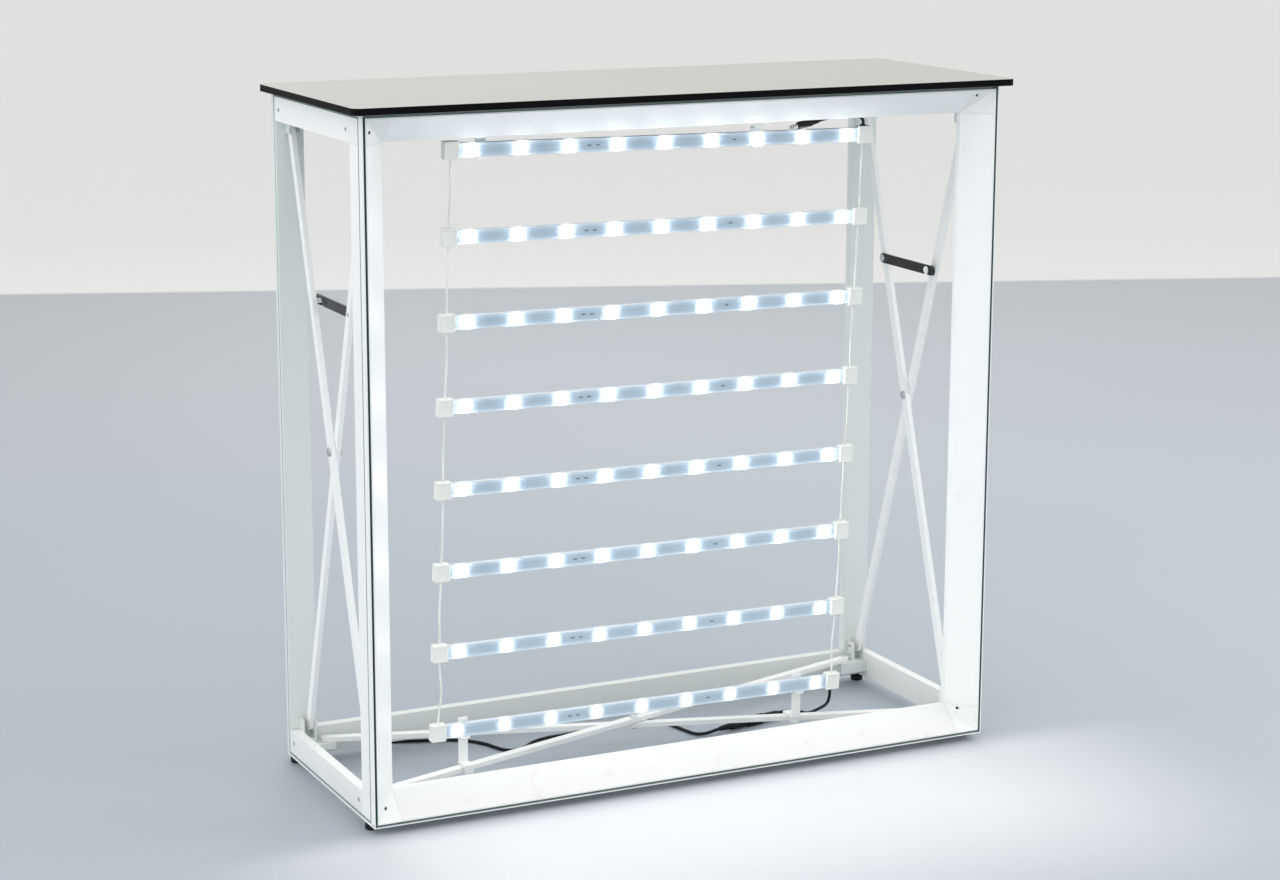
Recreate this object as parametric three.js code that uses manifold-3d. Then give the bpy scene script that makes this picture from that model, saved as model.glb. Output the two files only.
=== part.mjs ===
// A portable light-box counter without its fabric skin: a plug-together frame of hollow
// extrusions, folding X braces in both sides, a loose X in the base, and a curtain of eight
// light bars on two ladder cords. Millimetres, +Z up, origin on the floor under the middle
// of the counter top. Front is -Y, left is -X.
import * as THREE from 'three';
import { mergeVertices } from 'three/addons/utils/BufferGeometryUtils.js';
import Module from 'manifold-3d';

const wasm = await Module();
wasm.setup();

// Driving dimensions of the frame and the counter top
const WIDTH = 1000;
const DEPTH = 368;
const HEIGHT = 1000;
const FOOT_LIFT = 12;
const TOP = { width: 1036, depth: 392, thick: 10, corner: 12, overhangFront: 18 };
const GAP = 0.3;
// How far a cutting tool or a joined piece runs past the face it meets
const OVER = 1;

// Extrusions: p runs in from the outer edge, q runs back from the face, r runs along
const FACE = 42;
const WALL = 2;
const FRONT = { deep: 48, reflectorStart: 7, reflectorDepth: 38, grooveWall: 2.5, slantWall: 2.8 };
const REAR = { deep: 16, grooveFrom: 8, grooveTo: 11, grooveDepth: 5 };
const SIDE = { thick: 14, grooveFrom: 3.5, grooveTo: 7, grooveDepth: 5 };
const KEDER = { from: 1.6, to: 5, depth: 9 };
const SKIN_GROOVE = { from: 13, to: 16.5, depth: 6 };
const SPIGOT = { length: 30, clearance: 0.4, root: 1 };

// Corner connectors: brace cradle, base ear with its peg, and the bore for a foot
const CRADLE = { outer: [14.3, 16.2], inner: [32, 35], deep: 18, from: 20, to: 60, webTo: 30 };
const EAR = {
  deep: 28, from: 12, inner: 62, pegAcross: 50, pegBack: 14, pegRadius: 3, pegProud: 1.2, pegSides: 12,
  bore: 3.4,
};
const FOOT = {
  front: [10, 38], rear: [12, 8], boreRadius: 4.4, boreDepth: 26, stemRadius: 4, stemTop: 24,
  pad: [[0, 0], [9.2, 0], [10, 1.5], [10, 7], [6.5, 9]], collarRadius: 6.5, sides: 12,
};
const SCREW_HOLE = { radius: 2.6, depth: 8, sides: 10 };

// Folding X brace of a side, seen in its own group: x points out of the counter
const BRACE = { width: 14, thick: 7, layerGap: 0.25, inset: 24, halfDepth: 144, halfHeight: 452 };
const BRACE_MIDDLE = 200;
const LINK = {
  height: 208, width: 15, thick: 3, tail: 12, standOff: 0.5, slotRadius: 4.2, slotRun: [-9.5, -15.5],
};
const STUD = { radius: 3.5, headRadius: 5.5, headThick: 2, headGap: 0.65, sides: 14 };
const RIVET = { radius: 4, headRadius: 7, headThick: 2.2, dome: 1.5, bore: 4.4, sides: 16 };
const LINK_RIVET = {
  radius: 3, headRadius: 6, headThick: 2, dome: 1.2, bore: 3.4, sides: 14, tailGap: 0.15,
};

// X in the base
const BASE = { upper: 30, lower: 22, thick: 7, width: 14, halfWidth: 450, halfDepth: 138 };

// Light curtain, leaning back and slightly out of level as it hangs
const CURTAIN = { x: 466, y: 106, z: 87, lean: 3.2, tilt: 0.74 };
const BAR = { count: 8, pitch: 121.4, halfLength: 316, tall: 20, thick: 8, lip: 1.6, recess: 0.8 };
const LENS = { count: 9, pitch: 74.4, radius: 8.2, proud: 6.8, sunk: 0.6, sides: 8 };
// A lens's outline, in shares of its radius and of its height
const LENS_CURVE = [[0.9, 0.53], [0.51, 0.88]];
const CAP = { length: 22, deep: 14, tall: 25, chamfer: 1.5, boss: 2.5, bossRadius: 4.2 };
const LADDER = { radius: 1.5, bore: 2, blind: 15, x: 327, waves: [4.5, -1.4, 1, -1.2, 1.5, -1, 1.2] };
const GLAND_X = 326;
const STAND = { width: 14, plate: 3, reach: 16, legGap: 10.2, legDrop: 9 };
const SEAT = { behind: 0.9, under: 0.6 };
const STANDS = [
  { name: 'left_bar_stand', x: 181, braceTop: 37, rise: 1 },
  { name: 'right_bar_stand', x: 735, braceTop: 29, rise: -1 },
];
const HOOK = { width: 16, sheet: 1.5, strapTop: 988, bendRise: 17, lip: 9, left: -280, right: 150 };

// Leads: routes from the frame's front left bottom corner, or from the top bar's middle
const LEAD = { radius: 2.5, lowerRadius: 2.4, topRadius: 2.25, sides: 8 };
const STEPS = { topLead: 14, lowerLead: 18, supplyLead: 66, ladderCord: 50 };
const TOP_LEAD_ROUTE = [
  [326, 0, 15.4], [326, 0, 18], [324.6, 0, 21.8], [320.5, 0, 25.2], [314, 0, 27.4], [305, 0, 28.3],
  [295, 0, 28.4], [284, 0, 27.8], [274, 0, 26.6], [265, 0, 25.2], [257, 0, 23.7], [251, 0, 22.4],
];
const TOP_PLUG = { tail: [250.7, 0, 22.35], tip: [203, 0, 13.6] };
const LOWER_LEAD_ROUTE = [
  [791.7, 107.1, 67.3], [791.6, 107.5, 60], [791.8, 110.5, 51], [793, 118, 42.5], [795, 130, 34.5],
  [797.5, 146, 26], [800.5, 164, 17], [803.5, 182, 8.5], [806, 199, 1.5], [807.5, 213, -2.6],
  [806.5, 224, -3.8], [801.5, 231.6, -3.9], [794, 234.2, -3.9], [786.3, 232.57, -3.9],
];
const CONNECTOR = { start: [786, 232.5, -3.9], end: [650, 202, -3.9], socketShare: 0.485 };
const SUPPLY_ROUTE = [
  [649.7, 201.93, -3.9], [642.7, 200.4, -4.3], [631.5, 199.6, -6.2], [620, 203, -8.3], [611.5, 212.5, -9.3],
  [606.8, 226.6, -9.4], [602.5, 245, -9.4], [598.5, 265, -9.4], [591.7, 285.8, -9.4], [577, 303, -9.4],
  [557.2, 312.8, -9.4], [529, 314.5, -9.4], [493.6, 308.4, -9.4], [458, 299.5, -9.4], [425.9, 295, -9.4],
  [396, 293, -9.4], [368.8, 283.8, -9.4], [348, 268, -9.4], [330, 259.7, -9.4], [315, 266, -9.4],
  [306, 283, -9.4], [297.6, 306.7, -9.4], [279, 331, -9.4], [249.4, 351.4, -9.4], [209, 366, -9.4],
  [169.4, 379.8, -9.4], [133, 389.5, -9.4], [110, 394.5, -9.4], [96, 397.8, -9.4], [87, 399.2, -9.4],
  [81.3, 399.4, -9.4],
];
const COIL = { x: 75, y: 434, floor: -9.4, turns: 4.5, inner: 22, pitch: 5.6, climb: 5.6, tail: 6 };
const COIL_MESH = { sides: 6, steps: 24, leastRun: 50, samples: 1200 };
const END_PLUG_LENGTH = 54;
const RELIEF = { waist: 0.8, ribShare: 0.6, ribs: 3 };
const PLUG = {
  reliefLength: 12, thin: 3.4, thick: 4.4, body: 5.5, bodyEnd: 33, nose: [4.8, 35.5], tip: [2.6, 47.5],
  sides: 10,
};
const INLINE = {
  reliefLength: 22, thin: 3.6, thick: 5, shoulder: 6.4, body: 7, bodyEnd: 22, neck: 6, neckFrom: 19,
  neckTo: 17, nut: 8, nutFrom: 16, nutTo: 2, sides: 12,
};

// Finishes
function finish(color, roughness, metalness) {
  return new THREE.MeshStandardMaterial({ color, roughness, metalness });
}
const whiteCoat = finish(0xf1f3f1, 0.42, 0.1);
const greyCoat = finish(0xdce2e0, 0.45, 0.1);
const whiteMoulding = finish(0xeef0ec, 0.5, 0);
const laminate = finish(0xd0cdc8, 0.55, 0);
const darkSteel = finish(0x23262a, 0.25, 0.9);
const zincSteel = finish(0xc9ccce, 0.35, 0.8);
const clearStrip = finish(0xd9e6f4, 0.3, 0);
const whiteCord = finish(0xf4f4f0, 0.7, 0);
const blackRubber = finish(0x161616, 0.6, 0);
const blackPlastic = finish(0x1b1b1c, 0.45, 0);

// Geometry helpers

// Welds a geometry into one closed shell whose faces point out
function closed(geometry) {
  geometry.deleteAttribute('normal');
  geometry.deleteAttribute('uv');
  const welded = mergeVertices(geometry, 1e-4);
  const index = welded.index.array;
  const spot = (i) => new THREE.Vector3().fromBufferAttribute(welded.attributes.position, i);
  const faces = [];
  let volume = 0;
  for (let i = 0; i < index.length; i += 3) {
    const [a, b, c] = index.slice(i, i + 3);
    if (a === b || b === c || c === a) continue;
    faces.push([a, b, c]);
    volume += spot(a).dot(spot(b).cross(spot(c)));
  }
  welded.setIndex(faces.flatMap(([a, b, c]) => (volume < 0 ? [a, c, b] : [a, b, c])));
  return welded;
}

function mirrored(geometry, x, y, z) {
  return closed(geometry.clone().scale(x, y, z));
}

function solid(geometry) {
  const vertProperties = Float32Array.from(geometry.attributes.position.array);
  const triVerts = Uint32Array.from(geometry.index.array);
  return new wasm.Manifold(new wasm.Mesh({ numProp: 3, vertProperties, triVerts }));
}

function geometryOf(body) {
  const mesh = body.getMesh();
  const geometry = new THREE.BufferGeometry();
  geometry.setAttribute('position', new THREE.BufferAttribute(mesh.vertProperties, 3));
  geometry.setIndex(new THREE.BufferAttribute(mesh.triVerts, 1));
  return geometry;
}

const joined = (...pieces) => geometryOf(pieces.map(solid).reduce((sum, piece) => sum.add(piece)));
const shared = (one, other) => geometryOf(solid(one).intersect(solid(other)));
const cut = (piece, ...tools) =>
  geometryOf(tools.map(solid).reduce((rest, tool) => rest.subtract(tool), solid(piece)));

function box([x0, x1], [y0, y1], [z0, z1]) {
  const geometry = new THREE.BoxGeometry(x1 - x0, y1 - y0, z1 - z0);
  geometry.translate((x0 + x1) / 2, (y0 + y1) / 2, (z0 + z1) / 2);
  return closed(geometry);
}

// An outline extruded from one station to another; axes names where its two
// coordinates and its length go, such as 'zyx'
const AXIS = {
  x: new THREE.Vector3(1, 0, 0),
  y: new THREE.Vector3(0, 1, 0),
  z: new THREE.Vector3(0, 0, 1),
};
const path = (points) => points.map(([a, b]) => new THREE.Vector2(a, b));
function prism(outline, from, to, axes, holes = []) {
  const shape = new THREE.Shape(path(outline));
  shape.holes = holes.map((hole) => new THREE.Path(path(hole)));
  const geometry = new THREE.ExtrudeGeometry(shape, { depth: to - from, bevelEnabled: false });
  geometry.translate(0, 0, from);
  const directions = [...axes].map((name) => AXIS[name]);
  return closed(geometry.applyMatrix4(new THREE.Matrix4().makeBasis(...directions)));
}

function circle(radius, sides, [a, b] = [0, 0]) {
  const turn = (i) => (2 * Math.PI * (i + 0.5)) / sides;
  const spot = (i) => [a + radius * Math.cos(turn(i)), b + radius * Math.sin(turn(i))];
  return Array.from({ length: sides }, (_, i) => spot(i));
}

// Two half circles joined by straight sides, from one centre to another
function stadium([a0, b0], [a1, b1], radius, steps = 8) {
  const heading = Math.atan2(b1 - b0, a1 - a0);
  const half = (a, b, start) => Array.from({ length: steps + 1 }, (_, i) => {
    const angle = start + (Math.PI * i) / steps;
    return [a + radius * Math.cos(angle), b + radius * Math.sin(angle)];
  });
  return [...half(a1, b1, heading - Math.PI / 2), ...half(a0, b0, heading + Math.PI / 2)];
}

const rectangle = (a0, a1, b0, b1) => [[a0, b0], [a1, b0], [a1, b1], [a0, b1]];

// A turned piece about Z, from [radius, height] points that start and end on the axis
function lathe(profile, sides) {
  const geometry = new THREE.LatheGeometry(path(profile), sides);
  return closed(geometry.rotateX(Math.PI / 2));
}

// A smooth route through points, and a round tube along it
function smoothRoute(points) {
  const route = new THREE.CatmullRomCurve3(points.map((point) => new THREE.Vector3(...point)));
  route.arcLengthDivisions = 2000;
  return route;
}

function tube(points, radius, sides, steps) {
  const section = new THREE.Shape(path(circle(radius, sides)));
  const extrudePath = smoothRoute(points);
  return closed(new THREE.ExtrudeGeometry(section, { steps, extrudePath, bevelEnabled: false }));
}

// The scene: the frame group's origin is the frame's front left bottom corner
const counter = new THREE.Group();
const frame = new THREE.Group();
frame.position.set(-WIDTH / 2, TOP.overhangFront - TOP.depth / 2, FOOT_LIFT);
counter.add(frame);

function part(name, geometry, material, parent = frame) {
  const mesh = new THREE.Mesh(geometry, material);
  mesh.name = name;
  parent.add(mesh);
  return mesh;
}

// A piece drawn at the left or the bottom, mirrored to the other side of the frame
function across(geometry, right, top) {
  const moved = mirrored(geometry, right ? -1 : 1, 1, top ? -1 : 1);
  return moved.translate(right ? WIDTH : 0, 0, top ? HEIGHT : 0);
}

// Hollow extrusions

const reflectorSlope = FRONT.reflectorDepth / (FACE - FRONT.reflectorStart);
const reflectorAt = (p) => reflectorSlope * (p - FRONT.reflectorStart);
const flange = FACE - WALL;

const frontOutline = [
  [0, 0], [KEDER.from, 0], [KEDER.from, KEDER.depth], [KEDER.to, KEDER.depth], [KEDER.to, 0],
  [FRONT.reflectorStart, 0], [FACE, FRONT.reflectorDepth], [FACE, FRONT.deep], [0, FRONT.deep],
  [0, SKIN_GROOVE.to], [SKIN_GROOVE.depth, SKIN_GROOVE.to],
  [SKIN_GROOVE.depth, SKIN_GROOVE.from], [0, SKIN_GROOVE.from],
];
// The hollow behind the reflector wall, drawn in by a clearance for the spigot that fills it
function frontHollow(clearance) {
  const near = SKIN_GROOVE.to + FRONT.grooveWall + clearance;
  const back = FRONT.deep - WALL - clearance;
  const slantShift = FRONT.slantWall + clearance;
  const turnAt = FRONT.reflectorStart + (near - slantShift) / reflectorSlope;
  return [
    [WALL + clearance, near], [turnAt, near], [flange - clearance, reflectorAt(flange) + slantShift],
    [flange - clearance, back], [WALL + clearance, back],
  ];
}

const rearOutline = [
  [0, 0], [FACE, 0], [FACE, REAR.deep], [0, REAR.deep], [0, REAR.grooveTo],
  [REAR.grooveDepth, REAR.grooveTo], [REAR.grooveDepth, REAR.grooveFrom], [0, REAR.grooveFrom],
];
const rearHollow = (clearance) => rectangle(
  REAR.grooveDepth + WALL + clearance, flange - clearance, WALL + clearance, REAR.deep - WALL - clearance,
);

const sideOutline = [
  [0, 0], [SIDE.thick, 0], [SIDE.thick, FACE], [0, FACE], [0, SIDE.grooveTo],
  [SIDE.grooveDepth, SIDE.grooveTo], [SIDE.grooveDepth, SIDE.grooveFrom], [0, SIDE.grooveFrom],
];
const sideHollow = (clearance) => rectangle(
  WALL + clearance, SIDE.thick - WALL - clearance, SIDE.grooveTo + WALL + clearance, flange - clearance,
);

const endCut = FACE + GAP;
const fromRear = (geometry) => mirrored(geometry, 1, -1, 1).translate(0, DEPTH, 0);

const frontPost = prism(frontOutline, endCut, HEIGHT - endCut, 'xyz', [frontHollow(0)]);
const frontRail = prism(frontOutline, endCut, WIDTH - endCut, 'zyx', [frontHollow(0)]);
const rearPost = fromRear(prism(rearOutline, endCut, HEIGHT - endCut, 'xyz', [rearHollow(0)]));
const rearRail = fromRear(prism(rearOutline, endCut, WIDTH - endCut, 'zyx', [rearHollow(0)]));
const sideRail = prism(sideOutline, FRONT.deep + GAP, DEPTH - REAR.deep - GAP, 'xzy', [sideHollow(0)]);

part('front_left_post', across(frontPost, false, false), whiteCoat);
part('front_right_post', across(frontPost, true, false), whiteCoat);
part('front_bottom_rail', across(frontRail, false, false), whiteCoat);
part('front_top_rail', across(frontRail, false, true), whiteCoat);
part('rear_left_post', across(rearPost, false, false), greyCoat);
part('rear_right_post', across(rearPost, true, false), greyCoat);
part('rear_bottom_rail', across(rearRail, false, false), greyCoat);
part('rear_top_rail', across(rearRail, false, true), greyCoat);
part('left_bottom_rail', across(sideRail, false, false), whiteCoat);
part('left_top_rail', across(sideRail, false, true), whiteCoat);
part('right_bottom_rail', across(sideRail, true, false), whiteCoat);
part('right_top_rail', across(sideRail, true, true), whiteCoat);

// Corner connectors, drawn at the left bottom corner with q back from their own face

// The mitred funnel where the reflector walls of a post and a rail run into each other
function frontFunnel() {
  const wedge = [
    [FRONT.reflectorStart - OVER / reflectorSlope, -OVER], [FACE + OVER, -OVER],
    [FACE + OVER, reflectorAt(FACE + OVER)],
  ];
  const airBesidePost = prism(wedge, -OVER, FACE + OVER, 'xyz');
  const airBesideRail = prism(wedge, -OVER, FACE + OVER, 'zyx');
  return shared(airBesidePost, airBesideRail);
}

function frontBlock(screw) {
  const keder = [KEDER.from, KEDER.to];
  const kederRun = [KEDER.from, FACE + OVER];
  const skin = [SKIN_GROOVE.from, SKIN_GROOVE.to];
  const sideGroove = [SIDE.grooveFrom, SIDE.grooveTo];
  const screwFace = reflectorAt(Math.max(Math.min(...screw), FRONT.reflectorStart));
  return cut(
    box([0, FACE], [0, FRONT.deep], [0, FACE]),
    frontFunnel(),
    box(keder, [-OVER, KEDER.depth], kederRun),
    box(kederRun, [-OVER, KEDER.depth], keder),
    box([-OVER, SKIN_GROOVE.depth], skin, [SIDE.grooveFrom, FACE + OVER]),
    box([-OVER, SIDE.grooveDepth], [SKIN_GROOVE.from, FRONT.deep + OVER], sideGroove),
    prism(circle(SCREW_HOLE.radius, SCREW_HOLE.sides, screw), -OVER, screwFace + SCREW_HOLE.depth, 'xzy'),
  );
}

function rearBlock() {
  const groove = [REAR.grooveFrom, REAR.grooveTo];
  const sideGroove = [SIDE.grooveFrom, SIDE.grooveTo];
  return cut(
    box([0, FACE], [0, REAR.deep], [0, FACE]),
    box([-OVER, REAR.grooveDepth], groove, [SIDE.grooveFrom, FACE + OVER]),
    box([-OVER, SIDE.grooveDepth], [REAR.grooveFrom, REAR.deep + OVER], sideGroove),
  );
}

// Spigots into the post, the rail and the side rail that meet at the corner
function spigots(hollow, deep) {
  const reach = [FACE - SPIGOT.root, FACE + SPIGOT.length];
  return [
    prism(hollow(SPIGOT.clearance), ...reach, 'xyz'),
    prism(hollow(SPIGOT.clearance), ...reach, 'zyx'),
    prism(sideHollow(SPIGOT.clearance), deep - SPIGOT.root, deep + SPIGOT.length, 'xzy'),
  ];
}

// Two cheeks and a web that hold the end of a brace, open towards the middle of the side
function cradle(deep) {
  const behind = [deep - OVER, deep + CRADLE.deep];
  const clear = [deep + GAP, deep + CRADLE.deep];
  const cheek = (p) => joined(
    box(p, behind, [CRADLE.from, FACE]),
    box(p, clear, [CRADLE.from, CRADLE.to]),
  );
  const web = box([CRADLE.outer[0], CRADLE.inner[1]], behind, [CRADLE.from, CRADLE.webTo]);
  return [cheek(CRADLE.outer), cheek(CRADLE.inner), web];
}

// The ear under the end of a base brace, with the peg that the brace drops on
function ear(deep, top) {
  const back = deep + EAR.deep;
  const peg = circle(EAR.pegRadius, EAR.pegSides, [EAR.pegAcross, deep + EAR.pegBack]);
  return [
    box([CRADLE.outer[0], FACE], [deep - OVER, back], [EAR.from, top]),
    box([FACE - OVER, EAR.inner], [deep + GAP, back], [EAR.from, top]),
    prism(peg, top - OVER, top + BASE.thick + EAR.pegProud, 'xyz'),
  ];
}

const footBore = (at) => prism(circle(FOOT.boreRadius, 16, at), -OVER, FOOT.boreDepth, 'xyz');

function frontConnector(screw, earTop) {
  const body = [frontBlock(screw), ...spigots(frontHollow, FRONT.deep), ...cradle(FRONT.deep)];
  if (earTop === undefined) return joined(...body);
  return cut(joined(...body, ...ear(FRONT.deep, earTop)), footBore(FOOT.front));
}

function rearConnector(earTop) {
  const body = [rearBlock(), ...spigots(rearHollow, REAR.deep), ...cradle(REAR.deep)];
  if (earTop === undefined) return fromRear(joined(...body));
  return fromRear(cut(joined(...body, ...ear(REAR.deep, earTop)), footBore(FOOT.rear)));
}

const earUpper = BASE.upper - GAP;
const earLower = BASE.lower - GAP;
part('front_left_bottom_corner', across(frontConnector([23, 22], earUpper), false, false), whiteMoulding);
part('front_right_bottom_corner', across(frontConnector([28, 37], earLower), true, false), whiteMoulding);
part('front_left_top_corner', across(frontConnector([13, 25]), false, true), whiteMoulding);
part('front_right_top_corner', across(frontConnector([33, 14]), true, true), whiteMoulding);
part('rear_left_bottom_corner', across(rearConnector(earLower), false, false), greyCoat);
part('rear_right_bottom_corner', across(rearConnector(earUpper), true, false), greyCoat);
part('rear_left_top_corner', across(rearConnector(), false, true), greyCoat);
part('rear_right_top_corner', across(rearConnector(), true, true), greyCoat);

// Levelling feet, screwed up into the bottom corners

const stemTop = FOOT_LIFT + FOOT.stemTop;
const footShape = lathe([
  ...FOOT.pad, [FOOT.collarRadius, FOOT_LIFT - GAP], [FOOT.stemRadius, FOOT_LIFT - GAP],
  [FOOT.stemRadius, stemTop], [0, stemTop],
], FOOT.sides).translate(0, 0, -FOOT_LIFT);
const [frontAcross, frontBack] = FOOT.front;
const [rearAcross, rearBack] = FOOT.rear;
for (const [name, x, y] of [
  ['front_left_foot', frontAcross, frontBack],
  ['front_right_foot', WIDTH - frontAcross, frontBack],
  ['rear_left_foot', rearAcross, DEPTH - rearBack],
  ['rear_right_foot', WIDTH - rearAcross, DEPTH - rearBack],
]) {
  part(name, footShape.clone(), blackRubber).position.set(x, y, 0);
}

// Folding X braces: the fixed brace is the inner one and carries the lock link, the fold
// brace is the outer one and carries the stud that the link's hook drops over

const braceReach = Math.hypot(BRACE.halfDepth, BRACE.halfHeight);
const braceLean = Math.atan2(BRACE.halfHeight, BRACE.halfDepth);
const linkAlong = LINK.height / Math.sin(braceLean);
const linkSpan = LINK.height / Math.tan(braceLean);
const outerFace = BRACE.layerGap + BRACE.thick;
const linkFaces = [-outerFace - LINK.standOff - LINK.thick, -outerFace - LINK.standOff];

const braceOutline = stadium([-braceReach, 0], [braceReach, 0], BRACE.width / 2);
const pivotBore = circle(RIVET.bore, RIVET.sides);

function fixedBrace() {
  const holes = [pivotBore, circle(LINK_RIVET.bore, LINK_RIVET.sides, [linkAlong, 0])];
  return prism(braceOutline, -outerFace, -BRACE.layerGap, 'yzx', holes).rotateX(braceLean);
}

function foldBrace() {
  const bar = prism(braceOutline, BRACE.layerGap, outerFace, 'yzx', [pivotBore]);
  const headAt = linkFaces[0] - STUD.headGap;
  const at = [linkAlong, 0];
  const stud = prism(circle(STUD.radius, STUD.sides, at), headAt - OVER, BRACE.layerGap + OVER, 'yzx');
  const head = prism(circle(STUD.headRadius, STUD.sides, at), headAt - STUD.headThick, headAt, 'yzx');
  return joined(bar, stud, head).rotateX(Math.PI - braceLean);
}

// The link lies level from its rivet to the stud, with a hooked slot open on its lower edge
function lockLink() {
  const towardsStud = ([u, w]) => [-u, w];
  const span = 2 * linkSpan;
  const body = stadium([0, 0], [span + LINK.tail, 0], LINK.width / 2).map(towardsStud);
  const mouth = [span + LINK.slotRun[0], LINK.slotRun[1]];
  const slot = stadium([span, 0], mouth, LINK.slotRadius).map(towardsStud);
  const plate = prism(body, ...linkFaces, 'yzx', [circle(LINK_RIVET.bore, LINK_RIVET.sides)]);
  return cut(plate, prism(slot, linkFaces[0] - OVER, linkFaces[1] + OVER, 'yzx'));
}

// A rivet along Z with a domed head beyond each of its two faces
function rivet(from, to) {
  const { radius, headRadius, headThick, dome, sides } = RIVET;
  return lathe([
    [0, from - headThick], [headRadius - dome, from - headThick], [headRadius, from], [radius, from],
    [radius, to], [headRadius, to], [headRadius - dome, to + headThick], [0, to + headThick],
  ], sides);
}

const bracePivot = () => rivet(-outerFace - GAP, outerFace + GAP).rotateY(Math.PI / 2);

function linkRivet() {
  const { radius, headRadius, headThick, dome, sides, tailGap } = LINK_RIVET;
  const face = linkFaces[0] - GAP;
  const tail = -BRACE.layerGap - tailGap;
  return lathe([
    [0, face - headThick], [headRadius - dome, face - headThick], [headRadius, face], [radius, face],
    [radius, tail], [0, tail],
  ], sides).rotateY(Math.PI / 2);
}

function sideBraces(side, x, turn) {
  const group = new THREE.Group();
  group.position.set(x, BRACE_MIDDLE, HEIGHT / 2);
  group.rotation.z = turn;
  frame.add(group);
  part(`${side}_fixed_brace`, fixedBrace(), whiteCoat, group);
  part(`${side}_fold_brace`, foldBrace(), whiteCoat, group);
  part(`${side}_brace_pivot`, bracePivot(), zincSteel, group);
  part(`${side}_lock_link`, lockLink(), darkSteel, group).position.set(0, linkSpan, LINK.height);
  part(`${side}_link_rivet`, linkRivet(), zincSteel, group).position.set(0, linkSpan, LINK.height);
}
sideBraces('left', BRACE.inset, Math.PI);
sideBraces('right', WIDTH - BRACE.inset, 0);

// X in the base: two flat bars on the corner pegs, riveted where they cross

function baseBrace(rise, bottom) {
  const end = [BASE.halfWidth, rise * BASE.halfDepth];
  const start = [-end[0], -end[1]];
  const holes = [
    circle(RIVET.bore, RIVET.sides),
    circle(EAR.bore, EAR.pegSides, start),
    circle(EAR.bore, EAR.pegSides, end),
  ];
  return prism(stadium(start, end, BASE.width / 2), bottom, bottom + BASE.thick, 'xyz', holes);
}

const basePivot = rivet(BASE.lower - GAP, BASE.upper + BASE.thick + GAP);
for (const [name, geometry, material] of [
  ['base_brace_upper', baseBrace(1, BASE.upper), whiteCoat],
  ['base_brace_lower', baseBrace(-1, BASE.lower), whiteCoat],
  ['base_brace_pivot', basePivot, zincSteel],
]) {
  part(name, geometry, material).position.set(WIDTH / 2, BRACE_MIDDLE, 0);
}

// Light curtain

const curtain = new THREE.Group();
curtain.position.set(CURTAIN.x, CURTAIN.y, CURTAIN.z);
curtain.rotation.set(THREE.MathUtils.degToRad(CURTAIN.lean), THREE.MathUtils.degToRad(CURTAIN.tilt), 0);
curtain.updateMatrix();
frame.add(curtain);

const barHeight = (number) => (BAR.count - number) * BAR.pitch;
const onBar = (number, x) => new THREE.Vector3(x, 0, barHeight(number)).applyMatrix4(curtain.matrix);

// A shallow channel with a lip along each edge
function strip() {
  const back = BAR.thick / 2;
  const top = BAR.tall / 2;
  const floor = BAR.recess - back;
  const lip = top - BAR.lip;
  const outline = [
    [back, -top], [back, top], [-back, top], [-back, lip], [floor, lip], [floor, -lip], [-back, -lip],
    [-back, -top],
  ];
  return prism(outline, -BAR.halfLength - OVER, BAR.halfLength + OVER, 'yzx');
}

function lens(x) {
  const floor = BAR.recess - BAR.thick / 2;
  const curve = LENS_CURVE.map(([out, up]) => [LENS.radius * out, LENS.proud * up]);
  const dome = [[0, -LENS.sunk], [LENS.radius, -LENS.sunk], ...curve, [0, LENS.proud]];
  return lathe(dome, LENS.sides).rotateX(Math.PI / 2).translate(x, floor, 0);
}

function endCap(side) {
  const y = CAP.deep / 2;
  const z = CAP.tall / 2;
  const c = CAP.chamfer;
  const outline = [
    [-y + c, -z], [y - c, -z], [y, -z + c], [y, z - c], [y - c, z], [-y + c, z], [-y, z - c], [-y, -z + c],
  ];
  const ends = [side * BAR.halfLength, side * (BAR.halfLength + CAP.length)].sort((a, b) => a - b);
  return prism(outline, ...ends, 'yzx');
}

// The cord's bore goes right through a cap, but stops inside the top and the bottom cap
function cordBore(side, number) {
  const z = CAP.tall / 2;
  const low = number === BAR.count ? z - LADDER.blind : -z - OVER;
  const high = number === 1 ? LADDER.blind - z : z + OVER;
  return prism(circle(LADDER.bore, 8, [side * LADDER.x, 0]), low, high, 'xyz');
}

function leadBoss(number) {
  const z = CAP.tall / 2;
  const ends = number === 1 ? [z - OVER, z + CAP.boss] : [-z - CAP.boss, OVER - z];
  return prism(circle(CAP.bossRadius, 12, [GLAND_X, 0]), ...ends, 'xyz');
}

function lightBar(number) {
  const middle = (LENS.count - 1) / 2;
  const lenses = Array.from({ length: LENS.count }, (_, i) => lens((i - middle) * LENS.pitch));
  const wired = number === 1 || number === BAR.count;
  const bosses = wired ? [leadBoss(number)] : [];
  return cut(
    joined(strip(), endCap(-1), endCap(1), ...lenses, ...bosses),
    cordBore(-1, number),
    cordBore(1, number),
  );
}

for (let number = 1; number <= BAR.count; number += 1) {
  part(`light_bar_${number}`, lightBar(number), clearStrip, curtain).position.z = barHeight(number);
}

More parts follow.
